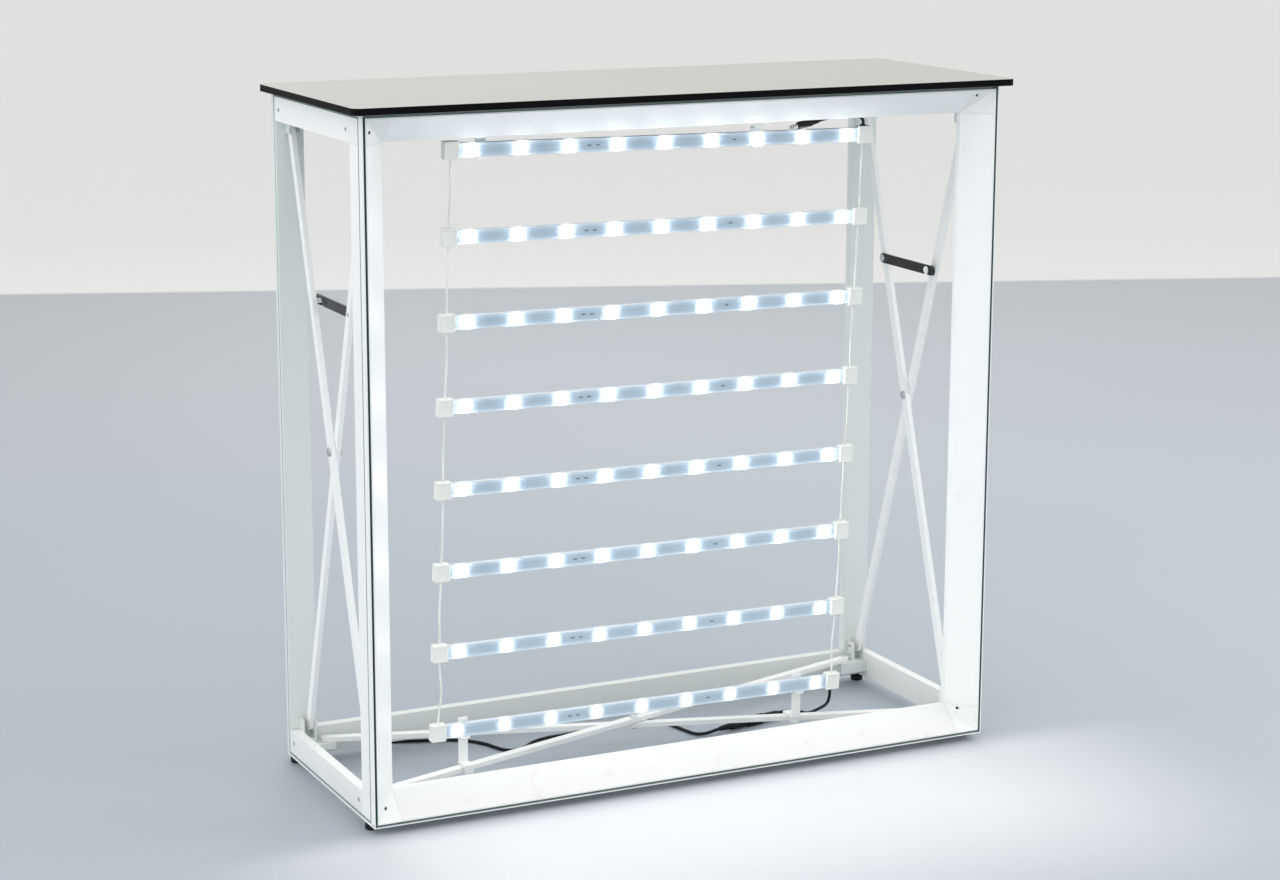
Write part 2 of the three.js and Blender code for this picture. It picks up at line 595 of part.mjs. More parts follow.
// A ladder cord runs from inside the bottom cap to inside the top cap, straight in each cap
// and bowed a little between caps
function ladderCord(side, sway) {
  const half = CAP.tall / 2;
  const points = [[0, 1]];
  LADDER.waves.forEach((wave, gap) => {
    const from = gap * BAR.pitch + half;
    const to = (gap + 1) * BAR.pitch - half;
    for (const share of [0, 0.2, 0.5, 0.8, 1]) {
      points.push([sway * wave * Math.sin(Math.PI * share) ** 2, from + (to - from) * share]);
    }
  });
  points.push([0, LADDER.waves.length * BAR.pitch - 1]);
  const route = points.map(([bow, z]) => [side * LADDER.x + bow, 0, z]);
  return tube(route, LADDER.radius, LEAD.sides, STEPS.ladderCord);
}
part('left_ladder_cord', ladderCord(-1, 1), whiteCord, curtain);
part('right_ladder_cord', ladderCord(1, -0.6), whiteCord, curtain);

// Stands: a clip over a base brace, a post behind the lowest bar and a shelf under it
function barStand({ x, braceTop, rise }) {
  const { y, z } = onBar(BAR.count, x - CURTAIN.x);
  const brace = BRACE_MIDDLE + (rise * (x - WIDTH / 2) * BASE.halfDepth) / BASE.halfWidth;
  const wide = [x - STAND.width / 2, x + STAND.width / 2];
  const post = y + BAR.thick / 2 + SEAT.behind;
  const postFaces = [post, post + STAND.plate];
  const clipTop = [braceTop + GAP, braceTop + GAP + STAND.plate];
  const outerLeg = STAND.legGap + STAND.plate;
  const shelf = z - BAR.tall / 2 - SEAT.under;
  const leg = (a, b) => box(wide, [brace + a, brace + b], [braceTop - STAND.legDrop, clipTop[1]]);
  const bridge = [Math.min(brace - outerLeg, post), Math.max(brace + outerLeg, postFaces[1])];
  return joined(
    box(wide, bridge, clipTop),
    leg(-outerLeg, -STAND.legGap),
    leg(STAND.legGap, outerLeg),
    box(wide, postFaces, [clipTop[0], z + STAND.reach]),
    box(wide, [y - BAR.thick / 2, postFaces[1]], [shelf - STAND.plate, shelf]),
  );
}
for (const stand of STANDS) {
  part(stand.name, barStand(stand), whiteMoulding);
}

// Hooks: a strap on the back of the front top rail, bent back and down behind the top bar
function barHook(across) {
  const { x, y, z } = onBar(1, across);
  const wide = [x - HOOK.width / 2, x + HOOK.width / 2];
  const strap = FRONT.deep + GAP;
  const behind = y + BAR.thick / 2 + SEAT.behind;
  const back = behind + HOOK.sheet;
  const bend = [z + HOOK.bendRise - HOOK.sheet, z + HOOK.bendRise];
  const under = z - BAR.tall / 2 - SEAT.under - HOOK.sheet;
  return joined(
    box(wide, [strap, strap + HOOK.sheet], [bend[0], HOOK.strapTop]),
    box(wide, [strap, back], bend),
    box(wide, [behind, back], [under, bend[1]]),
    box(wide, [behind - HOOK.lip, back], [under, under + HOOK.sheet]),
  );
}
part('left_bar_hook', barHook(HOOK.left), whiteMoulding);
part('right_bar_hook', barHook(HOOK.right), whiteMoulding);

// Leads and what is on them

// Ribbed strain relief, growing from the lead's radius to the body's
function relief({ reliefLength, thin, thick }) {
  const { ribs } = RELIEF;
  const pitch = reliefLength / ribs;
  return Array.from({ length: ribs }, (_, i) => {
    const radius = thin + ((thick - thin) * i) / (ribs - 1);
    const waist = radius - RELIEF.waist;
    const at = i * pitch;
    const ribEnd = at + pitch * RELIEF.ribShare;
    return [[radius, at], [radius, ribEnd], [waist, ribEnd], [waist, at + pitch]];
  }).flat();
}

function placedAlong(name, geometry, material, start, end, parent) {
  const from = new THREE.Vector3(...start);
  const heading = new THREE.Vector3(...end).sub(from).normalize();
  const mesh = part(name, geometry, material, parent);
  mesh.position.copy(from);
  mesh.quaternion.setFromUnitVectors(AXIS.z, heading);
}

const topPlugShape = lathe([
  [0, 0], ...relief(PLUG), [PLUG.body, PLUG.reliefLength], [PLUG.body, PLUG.bodyEnd], PLUG.nose,
  [PLUG.tip[0], PLUG.nose[1]], PLUG.tip, [0, PLUG.tip[1]],
], PLUG.sides);
const topBar = new THREE.Group();
topBar.position.z = barHeight(1);
curtain.add(topBar);
part('top_lead', tube(TOP_LEAD_ROUTE, LEAD.topRadius, LEAD.sides, STEPS.topLead), blackRubber, topBar);
placedAlong('top_lead_plug', topPlugShape, blackPlastic, TOP_PLUG.tail, TOP_PLUG.tip, topBar);

// The inline pair: each half has a ribbed relief, a waisted body and a ring nut at the joint
const pairLength = new THREE.Vector3(...CONNECTOR.start).distanceTo(new THREE.Vector3(...CONNECTOR.end));
const inlineHalf = (length) => lathe([
  [0, 0], ...relief(INLINE), [INLINE.shoulder, INLINE.reliefLength], [INLINE.body, length - INLINE.bodyEnd],
  [INLINE.neck, length - INLINE.neckFrom], [INLINE.neck, length - INLINE.neckTo],
  [INLINE.nut, length - INLINE.nutFrom], [INLINE.nut, length - INLINE.nutTo], [INLINE.body, length],
  [0, length],
], INLINE.sides);
const socketLength = pairLength * CONNECTOR.socketShare;
const pairPoint = (distance) => {
  const start = new THREE.Vector3(...CONNECTOR.start);
  return start.lerp(new THREE.Vector3(...CONNECTOR.end), distance / pairLength).toArray();
};
part('lower_lead', tube(LOWER_LEAD_ROUTE, LEAD.lowerRadius, LEAD.sides, STEPS.lowerLead), blackRubber);
placedAlong('inline_socket', inlineHalf(socketLength), blackPlastic, CONNECTOR.start, CONNECTOR.end);
placedAlong(
  'inline_plug', inlineHalf(pairLength - socketLength - GAP), blackPlastic,
  CONNECTOR.end, pairPoint(socketLength + GAP),
);

part('supply_lead', tube(SUPPLY_ROUTE, LEAD.radius, LEAD.sides, STEPS.supplyLead), blackRubber);

// The rest of the supply lead: a coil that spirals in, climbs one layer in the half turn where
// it reverses, and spirals out again on top
function coilRoute() {
  const middle = COIL.turns / 2;
  const points = [];
  for (let step = 0; step <= COIL.turns * COIL_MESH.steps; step += 1) {
    const turn = step / COIL_MESH.steps;
    const radius = COIL.inner + COIL.pitch * Math.abs(turn - middle);
    const angle = -Math.PI / 2 - 2 * Math.PI * turn;
    const rise = THREE.MathUtils.smoothstep(turn, middle - 0.25, middle + 0.25);
    points.push([
      COIL.x + radius * Math.cos(angle), COIL.y + radius * Math.sin(angle), COIL.floor + COIL.climb * rise,
    ]);
  }
  const [first, last] = [points[0], points[points.length - 1]];
  points.unshift([first[0] + COIL.tail, first[1], first[2]]);
  points.push([last[0] + COIL.tail, last[1], last[2]]);
  return points;
}

// Least gap between stretches of a tube that are more than a third of a turn apart
function selfGap(points, radius, leastRun, samples) {
  const route = smoothRoute(points);
  const spots = route.getSpacedPoints(samples);
  const stride = Math.ceil((leastRun * samples) / route.getLength());
  let least = Infinity;
  for (let i = 0; i < spots.length; i += 1) {
    for (let j = i + stride; j < spots.length; j += 1) {
      least = Math.min(least, spots[i].distanceTo(spots[j]));
    }
  }
  return least - 2 * radius;
}

const coilPoints = coilRoute();
const coilSteps = COIL.turns * COIL_MESH.steps + 2;
part('supply_coil', tube(coilPoints, LEAD.radius, COIL_MESH.sides, coilSteps), blackRubber);
const coilGap = selfGap(coilPoints, LEAD.radius, COIL_MESH.leastRun, COIL_MESH.samples);
console.log('supply coil: least gap to itself', coilGap.toFixed(2), 'mm');
const leadTotal = smoothRoute(SUPPLY_ROUTE).getLength() + smoothRoute(coilPoints).getLength();
console.log('supply lead: length with its coil', leadTotal.toFixed(0), 'mm');

const coilEnd = coilPoints[coilPoints.length - 1];
const endPlugStart = [coilEnd[0] + GAP, coilEnd[1], coilEnd[2]];
const endPlugTip = [endPlugStart[0] + END_PLUG_LENGTH, endPlugStart[1], endPlugStart[2]];
placedAlong('supply_end_plug', inlineHalf(END_PLUG_LENGTH), blackPlastic, endPlugStart, endPlugTip);

// Counter top, resting on the top rails

function counterTop() {
  const { width, depth, thick, corner } = TOP;
  const x = width / 2;
  const y = depth / 2;
  const shape = new THREE.Shape();
  shape.moveTo(-x + corner, -y);
  shape.lineTo(x - corner, -y);
  shape.absarc(x - corner, -y + corner, corner, -Math.PI / 2, 0);
  shape.lineTo(x, y - corner);
  shape.absarc(x - corner, y - corner, corner, 0, Math.PI / 2);
  shape.lineTo(-x + corner, y);
  shape.absarc(-x + corner, y - corner, corner, Math.PI / 2, Math.PI);
  shape.lineTo(-x, -y + corner);
  shape.absarc(-x + corner, -y + corner, corner, Math.PI, 1.5 * Math.PI);
  return closed(new THREE.ExtrudeGeometry(shape, { depth: thick, bevelEnabled: false, curveSegments: 6 }));
}
part('counter_top', counterTop(), laminate, counter).position.z = FOOT_LIFT + HEIGHT + GAP;

export default counter;
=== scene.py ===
"""Looks of the light-box counter: finishes for the frame's nodes, the lit bars, the plugs and the leads."""
import math

import bpy
from mathutils import Matrix, Vector


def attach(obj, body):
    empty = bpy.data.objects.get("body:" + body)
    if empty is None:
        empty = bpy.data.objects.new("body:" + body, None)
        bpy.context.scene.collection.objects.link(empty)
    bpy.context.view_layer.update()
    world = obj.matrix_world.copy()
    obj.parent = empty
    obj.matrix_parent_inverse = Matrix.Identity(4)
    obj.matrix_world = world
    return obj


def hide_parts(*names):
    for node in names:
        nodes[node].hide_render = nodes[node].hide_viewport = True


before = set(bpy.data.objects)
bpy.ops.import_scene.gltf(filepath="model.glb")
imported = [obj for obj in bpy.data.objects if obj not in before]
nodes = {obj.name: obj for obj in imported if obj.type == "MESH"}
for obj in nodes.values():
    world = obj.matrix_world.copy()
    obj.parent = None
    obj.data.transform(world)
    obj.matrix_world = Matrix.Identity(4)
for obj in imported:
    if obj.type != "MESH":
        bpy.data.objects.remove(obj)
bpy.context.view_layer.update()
ROOT = "frame"
MM = 0.001
SAME_PLACE = 0.05 * MM

# The frame's front left bottom corner, and the light curtain as it hangs in the frame
CORNER = Vector((-500, -178, 12)) * MM
CURTAIN_PLACE = Vector((466, 106, 87)) * MM
CURTAIN_LEAN = math.radians(3.2)
CURTAIN_TILT = math.radians(0.74)
CURTAIN = (
    Matrix.Translation(CORNER + CURTAIN_PLACE)
    @ Matrix.Rotation(CURTAIN_LEAN, 4, "X")
    @ Matrix.Rotation(CURTAIN_TILT, 4, "Y")
)
BAR_COUNT = 8
BAR_PITCH = 121.4 * MM
BAR_HALF = 316 * MM
BAR_TALL = 20 * MM
BAR_THICK = 8 * MM
LENS_COUNT = 9
LENS_PITCH = 74.4 * MM
LENS_RADIUS = 8.2 * MM
LENS_PROUD = 6.8 * MM
LENS_FLOOR = -3.2 * MM
LENS_CUT = 0.3 * MM
CAP_SIZE = Vector((22, 14, 25)) * MM
CAP_EDGE = 0.9 * MM
PANEL_MARGIN = 2.2 * MM
PANEL_STEP = 0.4 * MM
PANEL_DEPTH = 0.7 * MM
CORD_X = 327 * MM
COLLAR_RADIUS = 2.5 * MM
COLLAR_WALL = 0.75 * MM
COLLAR_SUNK = 0.35 * MM
GLAND_X = 326 * MM

# Weave of the ladder cords, in radians per metre along a cord and across it
STRANDS_ALONG = 2600
STRANDS_ROUND = 1500

# Frame and board, and the heights between which the frame's darkening towards the bottom thins out
FRAME_HALF = Vector((500, 184, 500)) * MM
FRAME_MIDDLE = CORNER + FRAME_HALF
BOARD_TOP = 1022.3 * MM
BOARD_THICK = 10 * MM
FACE_BAND = 0.2 * MM
DARKER_LOW_HEIGHTS = (12 * MM, 90 * MM)

# Words in the names of the nodes
SIDES = ("left", "right")
ENDS = ("front", "rear")
LEVELS = ("top", "bottom")

# Strip of a light bar: lips, flutes as height and depth in millimetres, the painted halo of lens light
# round a lens and the little parts between the lenses
LIP_EDGE = 8.4
FLUTES = {7.6: 0.8, 5.2: 0.35, 2.8: 0.8, 0.4: 0.45}
LENS_PLATE = Vector((19, 1.4, 15.6)) * MM
LENS_PLATE_SUNK = 0.2 * MM
LENS_PLATE_EDGE = 0.5 * MM
DIM_HEIGHTS = (80 * MM, 450 * MM)
PAINTED_HALO_INNER = 7 * MM
PAINTED_HALO_OUTER = 19 * MM
STRIP_PALER = (3 * MM, 9.5 * MM)
PARTS_FROM_MIDDLE = 1.5 * LENS_PITCH
PART_HALF_TALL = 0.9 * MM
PAIR_OFFSET = 6.5 * MM
PAIR_HALF = 3.2 * MM
SINGLE_HALF = 3.0 * MM

# Grooves for the fabric's edges, where teal shade is painted: out from the frame's middle, or back from its
# front
FACE_GROOVE = (494.9 * MM, 498.5 * MM)
FACE_GROOVE_DEPTH = (0.5 * MM, 9.5 * MM)
SIDE_INSET = (493.8 * MM, 499.5 * MM)
SKIN_GROOVE = (12.9 * MM, 16.6 * MM)
SIDE_GROOVE = (492.5 * MM, 496.6 * MM)
SIDE_GROOVE_START = 16 * MM
REAR_GROOVE = (356.9 * MM, 360.1 * MM)

# Screws that hold the extrusions on the spigots: from the posts, and in from the frame's edges
FRONT_DEEP = 48 * MM
REAR_DEEP = 16 * MM
SCREW_FROM_POST = 14 * MM
SIDE_SCREW_IN = 25 * MM
REAR_SCREW_IN = 57 * MM
REAR_SCREW_ASIDE = 24 * MM
SCREW_SUNK = 0.1 * MM
SCREW_RIM = 1.3 * MM
SCREW_STEP = 0.15 * MM
SCREW_HOLE_DEPTH = 0.5 * MM

# Front profile in millimetres, and the screws in its corners: name, how far in from the frame's side
# and from its bottom or top, and whether those are the right side and the top
FACE_SPAN = 1000
FACE_WIDTH = 42
REFLECTOR_START = 7
REFLECTOR_DEPTH = 38
HOLE_SUNK = 2.6
CORNER_HOLES = [
    ("bottom_left_screw", (23, 22), False, False),
    ("bottom_right_screw", (28, 37), True, False),
    ("top_left_screw", (13, 25), False, True),
    ("top_right_screw", (33, 14), True, True),
]

# Slots in the rear corners' cheeks, drawn as dark patches of painted shade: places in millimetres from the
# frame's corner, and a slot's sizes
CHEEKS = (("left", 35, 1), ("right", 965, -1))
SLOT_BACK = 343
SLOT_STAGGER = 2
SLOT_HEIGHTS = (26, 38, 52)
SLOT_SIZE = (2.6 * MM, 6.4 * MM, 0.5 * MM)
SLOT_RISE = 0.05 * MM
SLOT_ROUND = 1.2 * MM
SLOT_RIM = 0.35 * MM
SLOT_SUNK = 0.2 * MM

# Camera, fitted to the frame's corners in the photograph
CAMERA_PLACE = (-1.8383, -3.765, 1.4118)
CAMERA_YAW = math.radians(26.009)
CAMERA_PITCH = math.radians(12.433)
CAMERA_ROLL = math.radians(0.135)
CAMERA_LENS = 80.79
CAMERA_SENSOR = 36

# Floor in metres: the straight edge of its pale far zone, how its grey drifts, and the light from the front
FLOOR_RADIUS = 60
FLOOR_DROP = 0.0002
FLOOR_EDGE = 4.33
FLOOR_EDGE_BLUR = 0.05
FLOOR_HEADING = math.radians(20.5)
GREY_DRIFT_BACK = (0.8, 4.0)
GREY_DRIFT_ASIDE = (-0.8, 1.6)
GLOW_ASIDE = (0.30, 0.85)
GLOW_START = (-0.235, -0.14)
GLOW_END = (-0.95, -0.36)

# Sky, and lamps as name, place, target height, size and power
SKY_COLOR = (0.985, 0.99, 0.985, 1.0)
SKY_STRENGTH = 0.95
LAMPS = [
    ("key_light", (-2.6, -3.0, 3.6), 0.4, 2.6, 24),
    ("fill_light", (3.2, -1.6, 2.6), 0.5, 2.4, 32),
    ("side_light", (-3.8, -0.4, 1.2), 0.5, 2.2, 30),
    ("back_light", (0.6, 3.4, 3.2), 0.5, 2.4, 26),
]

# Routes of the leads, millimetres from the frame's corner or from the top bar's middle, and the coil,
# whose rise to its upper layer takes a part of a turn
TOP_LEAD_ROUTE = [
    (326, 0, 15.4), (326, 0, 18), (324.6, 0, 21.8), (320.5, 0, 25.2), (314, 0, 27.4), (305, 0, 28.3),
    (295, 0, 28.4), (284, 0, 27.8), (274, 0, 26.6), (265, 0, 25.2), (257, 0, 23.7), (251, 0, 22.4),
]
TOP_PLUG = ((250.7, 0, 22.35), (203, 0, 13.6))
LOWER_LEAD_ROUTE = [
    (791.7, 107.1, 67.3), (791.6, 107.5, 60), (791.8, 110.5, 51), (793, 118, 42.5), (795, 130, 34.5),
    (797.5, 146, 26), (800.5, 164, 17), (803.5, 182, 8.5), (806, 199, 1.5), (807.5, 213, -2.6),
    (806.5, 224, -3.8), (801.5, 231.6, -3.9), (794, 234.2, -3.9), (786.3, 232.57, -3.9),
]
CONNECTOR_START = (786, 232.5, -3.9)
CONNECTOR_END = (650, 202, -3.9)
SOCKET_SHARE = 0.485
SUPPLY_ROUTE = [
    (649.7, 201.93, -3.9), (642.7, 200.4, -4.3), (631.5, 199.6, -6.2),
    (620, 203, -8.3), (611.5, 212.5, -9.3),
    (606.8, 226.6, -9.4), (602.5, 245, -9.4), (598.5, 265, -9.4), (591.7, 285.8, -9.4), (577, 303, -9.4),
    (557.2, 312.8, -9.4), (529, 314.5, -9.4), (493.6, 308.4, -9.4), (458, 299.5, -9.4), (425.9, 295, -9.4),
    (396, 293, -9.4), (368.8, 283.8, -9.4), (348, 268, -9.4), (330, 259.7, -9.4), (315, 266, -9.4),
    (306, 283, -9.4), (297.6, 306.7, -9.4), (279, 331, -9.4), (249.4, 351.4, -9.4), (209, 366, -9.4),
    (169.4, 379.8, -9.4), (133, 389.5, -9.4), (110, 394.5, -9.4), (96, 397.8, -9.4), (87, 399.2, -9.4),
]
COIL_MIDDLE = (75, 434)
COIL_FLOOR = -9.4
COIL_TURNS = 4.5
COIL_STEPS = 24
COIL_INNER = 22
COIL_PITCH = 5.6
COIL_TAIL = 6
COIL_RISE = 0.5
END_PLUG_LENGTH = 54
PLUG_GAP = 0.3
LEAD_DIAMETER = 5 * MM
LOWER_LEAD_DIAMETER = 4.8 * MM
TOP_LEAD_DIAMETER = 4.5 * MM


def at_corner(point):
    """A point in millimetres from the frame's corner, in metres in the shared frame."""
    return CORNER + Vector(point) * MM


def at_top_bar(point):
    """A point in millimetres from the top bar's middle, in metres in the shared frame."""
    return CURTAIN @ (Vector(point) * MM + Vector((0, 0, (BAR_COUNT - 1) * BAR_PITCH)))


class Value:
    """A socket of a node tree; Python's operators on it add Math nodes."""

    def __init__(self, tree, socket):
        self.tree = tree
        self.socket = socket

    def math(self, operation, *values):
        return add_node(self.tree, "ShaderNodeMath", {"operation": operation}, dict(enumerate(values)))

    def __add__(self, other):
        return self.math("ADD", self, other)

    def __radd__(self, other):
        return self.math("ADD", other, self)

    def __sub__(self, other):
        return self.math("SUBTRACT", self, other)

    def __rsub__(self, other):
        return self.math("SUBTRACT", other, self)

    def __mul__(self, other):
        return self.math("MULTIPLY", self, other)

    def __rmul__(self, other):
        return self.math("MULTIPLY", other, self)

    def __abs__(self):
        return self.math("ABSOLUTE", self)

    def above(self, limit):
        return self.math("GREATER_THAN", self, limit)

    def below(self, limit):
        return self.math("LESS_THAN", self, limit)

    def within(self, low, high):
        return self.above(low) * self.below(high)

    def either(self, other):
        return self.math("MAXIMUM", self, other)

    def sine(self):
        return self.math("SINE", self)

    def root(self):
        return self.math("SQRT", self)

    def fraction(self):
        return self.math("FRACT", self)


def add_node(tree, kind, settings=None, inputs=None, output=0):
    """Adds a node, sets its settings, then its sockets' values or links, and gives one output."""
    node = tree.nodes.new(kind)
    for name, value in (settings or {}).items():
        setattr(node, name, value)
    for key, value in (inputs or {}).items():
        if isinstance(value, Value):
            tree.links.new(value.socket, node.inputs[key])
        else:
            node.inputs[key].default_value = value
    return Value(tree, node.outputs[output])


class Finish:
    """A procedural material around one Principled shader."""

    def __init__(self, name):
        self.material = bpy.data.materials.new(name)
        self.material.use_nodes = True
        self.tree = self.material.node_tree
        self.shader = next(n for n in self.tree.nodes if n.type == "BSDF_PRINCIPLED")

    def node(self, kind, settings=None, inputs=None, output=0):
        return add_node(self.tree, kind, settings, inputs, output)

    def spot(self, source="Object"):
        return self.node("ShaderNodeTexCoord", output=source)

    def parts(self, vector):
        return [self.node("ShaderNodeSeparateXYZ", inputs={0: vector}, output=axis) for axis in range(3)]

    def noise(self, vector, scale, detail=3.0, roughness=0.5):
        inputs = {"Vector": vector, "Scale": scale, "Detail": detail, "Roughness": roughness}
        return self.node("ShaderNodeTexNoise", inputs=inputs)

    def stretched(self, vector, scale):
        return self.node("ShaderNodeMapping", inputs={"Vector": vector, "Scale": scale})

    def mixed(self, factor, one, other):
        settings = {"data_type": "RGBA", "clamp_factor": True}
        return self.node("ShaderNodeMix", settings, {0: factor, 6: one, 7: other}, output=2)

    def spread(self, value, low, high, to_low, to_high):
        inputs = {0: value, 1: low, 2: high, 3: to_low, 4: to_high}
        return self.node("ShaderNodeMapRange", {"interpolation_type": "SMOOTHSTEP"}, inputs)

    def bump(self, height, strength, distance):
        inputs = {"Strength": strength, "Distance": distance, "Height": height}
        return self.node("ShaderNodeBump", inputs=inputs)

    def set(self, **sockets):
        for name, value in sockets.items():
            socket = self.shader.inputs[name.replace("_", " ")]
            if isinstance(value, Value):
                self.tree.links.new(value.socket, socket)
            else:
                socket.default_value = value
        return self.material


def color(red, green, blue):
    return (red, green, blue, 1.0)


def groove_shade_masks(finish, place):
    """Masks for painted shade: the front posts' deep grooves, and the other, paler ones, for the fabric's
    edges.
    """
    x, y, z = finish.parts(place)
    across = abs(x)
    upright = abs(z - FRAME_MIDDLE.z)
    back = y - CORNER.y
    deep = back.within(*FACE_GROOVE_DEPTH)
    in_post = across.within(*FACE_GROOVE) * deep
    in_rail = upright.within(*FACE_GROOVE) * deep
    inset = across.within(*SIDE_INSET)
    skin = back.within(*SKIN_GROOVE) * inset
    side = upright.within(*SIDE_GROOVE) * inset * back.above(SIDE_GROOVE_START)
    rear = back.within(*REAR_GROOVE) * inset
    return in_post, in_rail.either(skin).either(side).either(rear)


def with_groove_shade(finish, place, tone):
    """Painted shade in the grooves over the tone: dark teal in the front posts', a paler teal in the
    others.
    """
    in_post, others = groove_shade_masks(finish, place)
    # Painted shade: teal in the grooves, darkest in the front posts'
    paler = finish.mixed(others, tone, color(0.45, 0.56, 0.56))
    return finish.mixed(in_post, paler, color(0.16, 0.27, 0.28))


def powder_coat(name, base, shade):
    """Satin powder coat: fine orange peel, a little tone drift, smudges, darker low down, painted groove
    shade.
    """
    finish = Finish(name)
    place = finish.spot()
    drift = finish.noise(place, 6.0, 4.0)
    tone = finish.mixed(drift, base, shade)
    z = finish.parts(place)[2]
    smudge = finish.spread(finish.noise(place, 35.0, 6.0, 0.65), 0.56, 0.78, 0.0, 1.0)
    # Darker towards the bottom of the frame, patchy with the smudges
    low_down = finish.spread(z, *DARKER_LOW_HEIGHTS, 0.5, 0.0)
    darkened = finish.mixed(smudge * 0.10 + low_down * (smudge * 0.4 + 0.6), tone, color(0.56, 0.55, 0.52))
    peel = finish.noise(place, 1400.0, 2.0)
    rough = finish.spread(finish.noise(place, 22.0, 3.0), 0.3, 0.7, 0.34, 0.46)
    return finish.set(
        Base_Color=with_groove_shade(finish, place, darkened),
        Roughness=rough,
        Normal=finish.bump(peel, 0.10, 0.0004),
        Coat_Weight=0.15,
        Coat_Roughness=0.25,
    )


def moulding(name, base, shade):
    """Moulded plastic: fine spark texture, patches of sheen, painted teal shade in the frame's grooves."""
    finish = Finish(name)
    place = finish.spot()
    tone = finish.mixed(finish.noise(place, 14.0, 3.0), base, shade)
    grain = finish.noise(place, 2200.0, 2.0)
    rough = finish.spread(finish.noise(place, 60.0, 3.0), 0.3, 0.7, 0.40, 0.56)
    return finish.set(
        Base_Color=with_groove_shade(finish, place, tone),
        Roughness=rough,
        Normal=finish.bump(grain, 0.16, 0.0003),
    )


def laminate():
    """Grey-beige laminate with a faint short fleck on top, black edge band round the sides."""
    finish = Finish("laminate_board")
    place = finish.spot()
    z = finish.parts(place)[2]
    fleck = finish.noise(finish.stretched(place, (60.0, 420.0, 60.0)), 6.0, 5.0, 0.6)
    cloud = finish.noise(place, 3.0, 3.0)
    warm = finish.mixed(cloud, color(0.53, 0.515, 0.485), color(0.50, 0.485, 0.46))
    face = finish.mixed(finish.spread(fleck, 0.45, 0.72, 0.0, 0.35), warm, color(0.43, 0.415, 0.395))
    scuff = finish.spread(finish.noise(place, 90.0, 6.0, 0.7), 0.62, 0.8, 0.0, 1.0)
    edge = finish.mixed(scuff * 0.4, color(0.004, 0.004, 0.0045), color(0.02, 0.02, 0.021))
    on_top = z.above(BOARD_TOP - FACE_BAND)
    underneath = z.below(BOARD_TOP - BOARD_THICK + FACE_BAND)
    board = finish.mixed(underneath, edge, color(0.30, 0.29, 0.275))
    rough = finish.spread(fleck, 0.3, 0.7, 0.42, 0.58)
    return finish.set(
        Base_Color=finish.mixed(on_top, board, face),
        Roughness=rough,
        Normal=finish.bump(fleck, 0.05, 0.0004),
        Specular_IOR_Level=0.05,
    )


def dark_steel():
    """Blackened spring steel with fine lengthwise brush lines and pale worn spots."""
    finish = Finish("blackened_steel")
    place = finish.spot()
    lines = finish.noise(finish.stretched(place, (400.0, 12.0, 900.0)), 3.0, 4.0)
    worn = finish.spread(finish.noise(place, 130.0, 5.0, 0.7), 0.6, 0.75, 0.0, 1.0)
    tone = finish.mixed(lines, color(0.010, 0.011, 0.012), color(0.04, 0.042, 0.045))
    return finish.set(
        Base_Color=finish.mixed(worn * 0.3, tone, color(0.16, 0.165, 0.17)),
        Metallic=0.6,
        Roughness=finish.spread(lines, 0.3, 0.7, 0.18, 0.34),
        Normal=finish.bump(lines, 0.08, 0.0002),
    )


def zinc_steel():
    """Zinc-plated steel with a cloudy bloom."""
    finish = Finish("zinc_plate")
    place = finish.spot()
    bloom = finish.noise(place, 260.0, 4.0, 0.6)
    return finish.set(
        Base_Color=finish.mixed(bloom, color(0.66, 0.67, 0.67), color(0.50, 0.51, 0.53)),
        Metallic=0.9,
        Roughness=finish.spread(bloom, 0.3, 0.7, 0.25, 0.45),
    )


def rubber(name, base, worn):
    """Matt black rubber, cable jacket or plug plastic with a chalky bloom."""
    finish = Finish(name)
    place = finish.spot()
    bloom = finish.spread(finish.noise(place, 120.0, 5.0, 0.6), 0.5, 0.75, 0.0, 1.0)
    grain = finish.noise(place, 3000.0, 2.0)
    return finish.set(
        Base_Color=finish.mixed(bloom * 0.5, base, worn),
        Roughness=finish.spread(grain, 0.3, 0.7, 0.45, 0.62),
        Normal=finish.bump(grain, 0.10, 0.0002),
        Specular_IOR_Level=0.2,
    )


def braided_cord():
    """White braided ladder cord: slanted strands as fine ridges along its length, painted shade between
    them.
    """
    finish = Finish("braided_cord")
    place = finish.spot()
    x, y, z = finish.parts(place)
    along = z * STRANDS_ALONG
    weave = (along + x * STRANDS_ROUND).sine() * (along - y * STRANDS_ROUND).sine() * 0.5 + 0.5
    # Painted shade: darker where the strands dip
    return finish.set(
        Base_Color=finish.mixed(weave, color(0.66, 0.66, 0.63), color(0.93, 0.93, 0.90)),
        Roughness=0.75,
        Normal=finish.bump(weave, 0.35, 0.0004),
    )


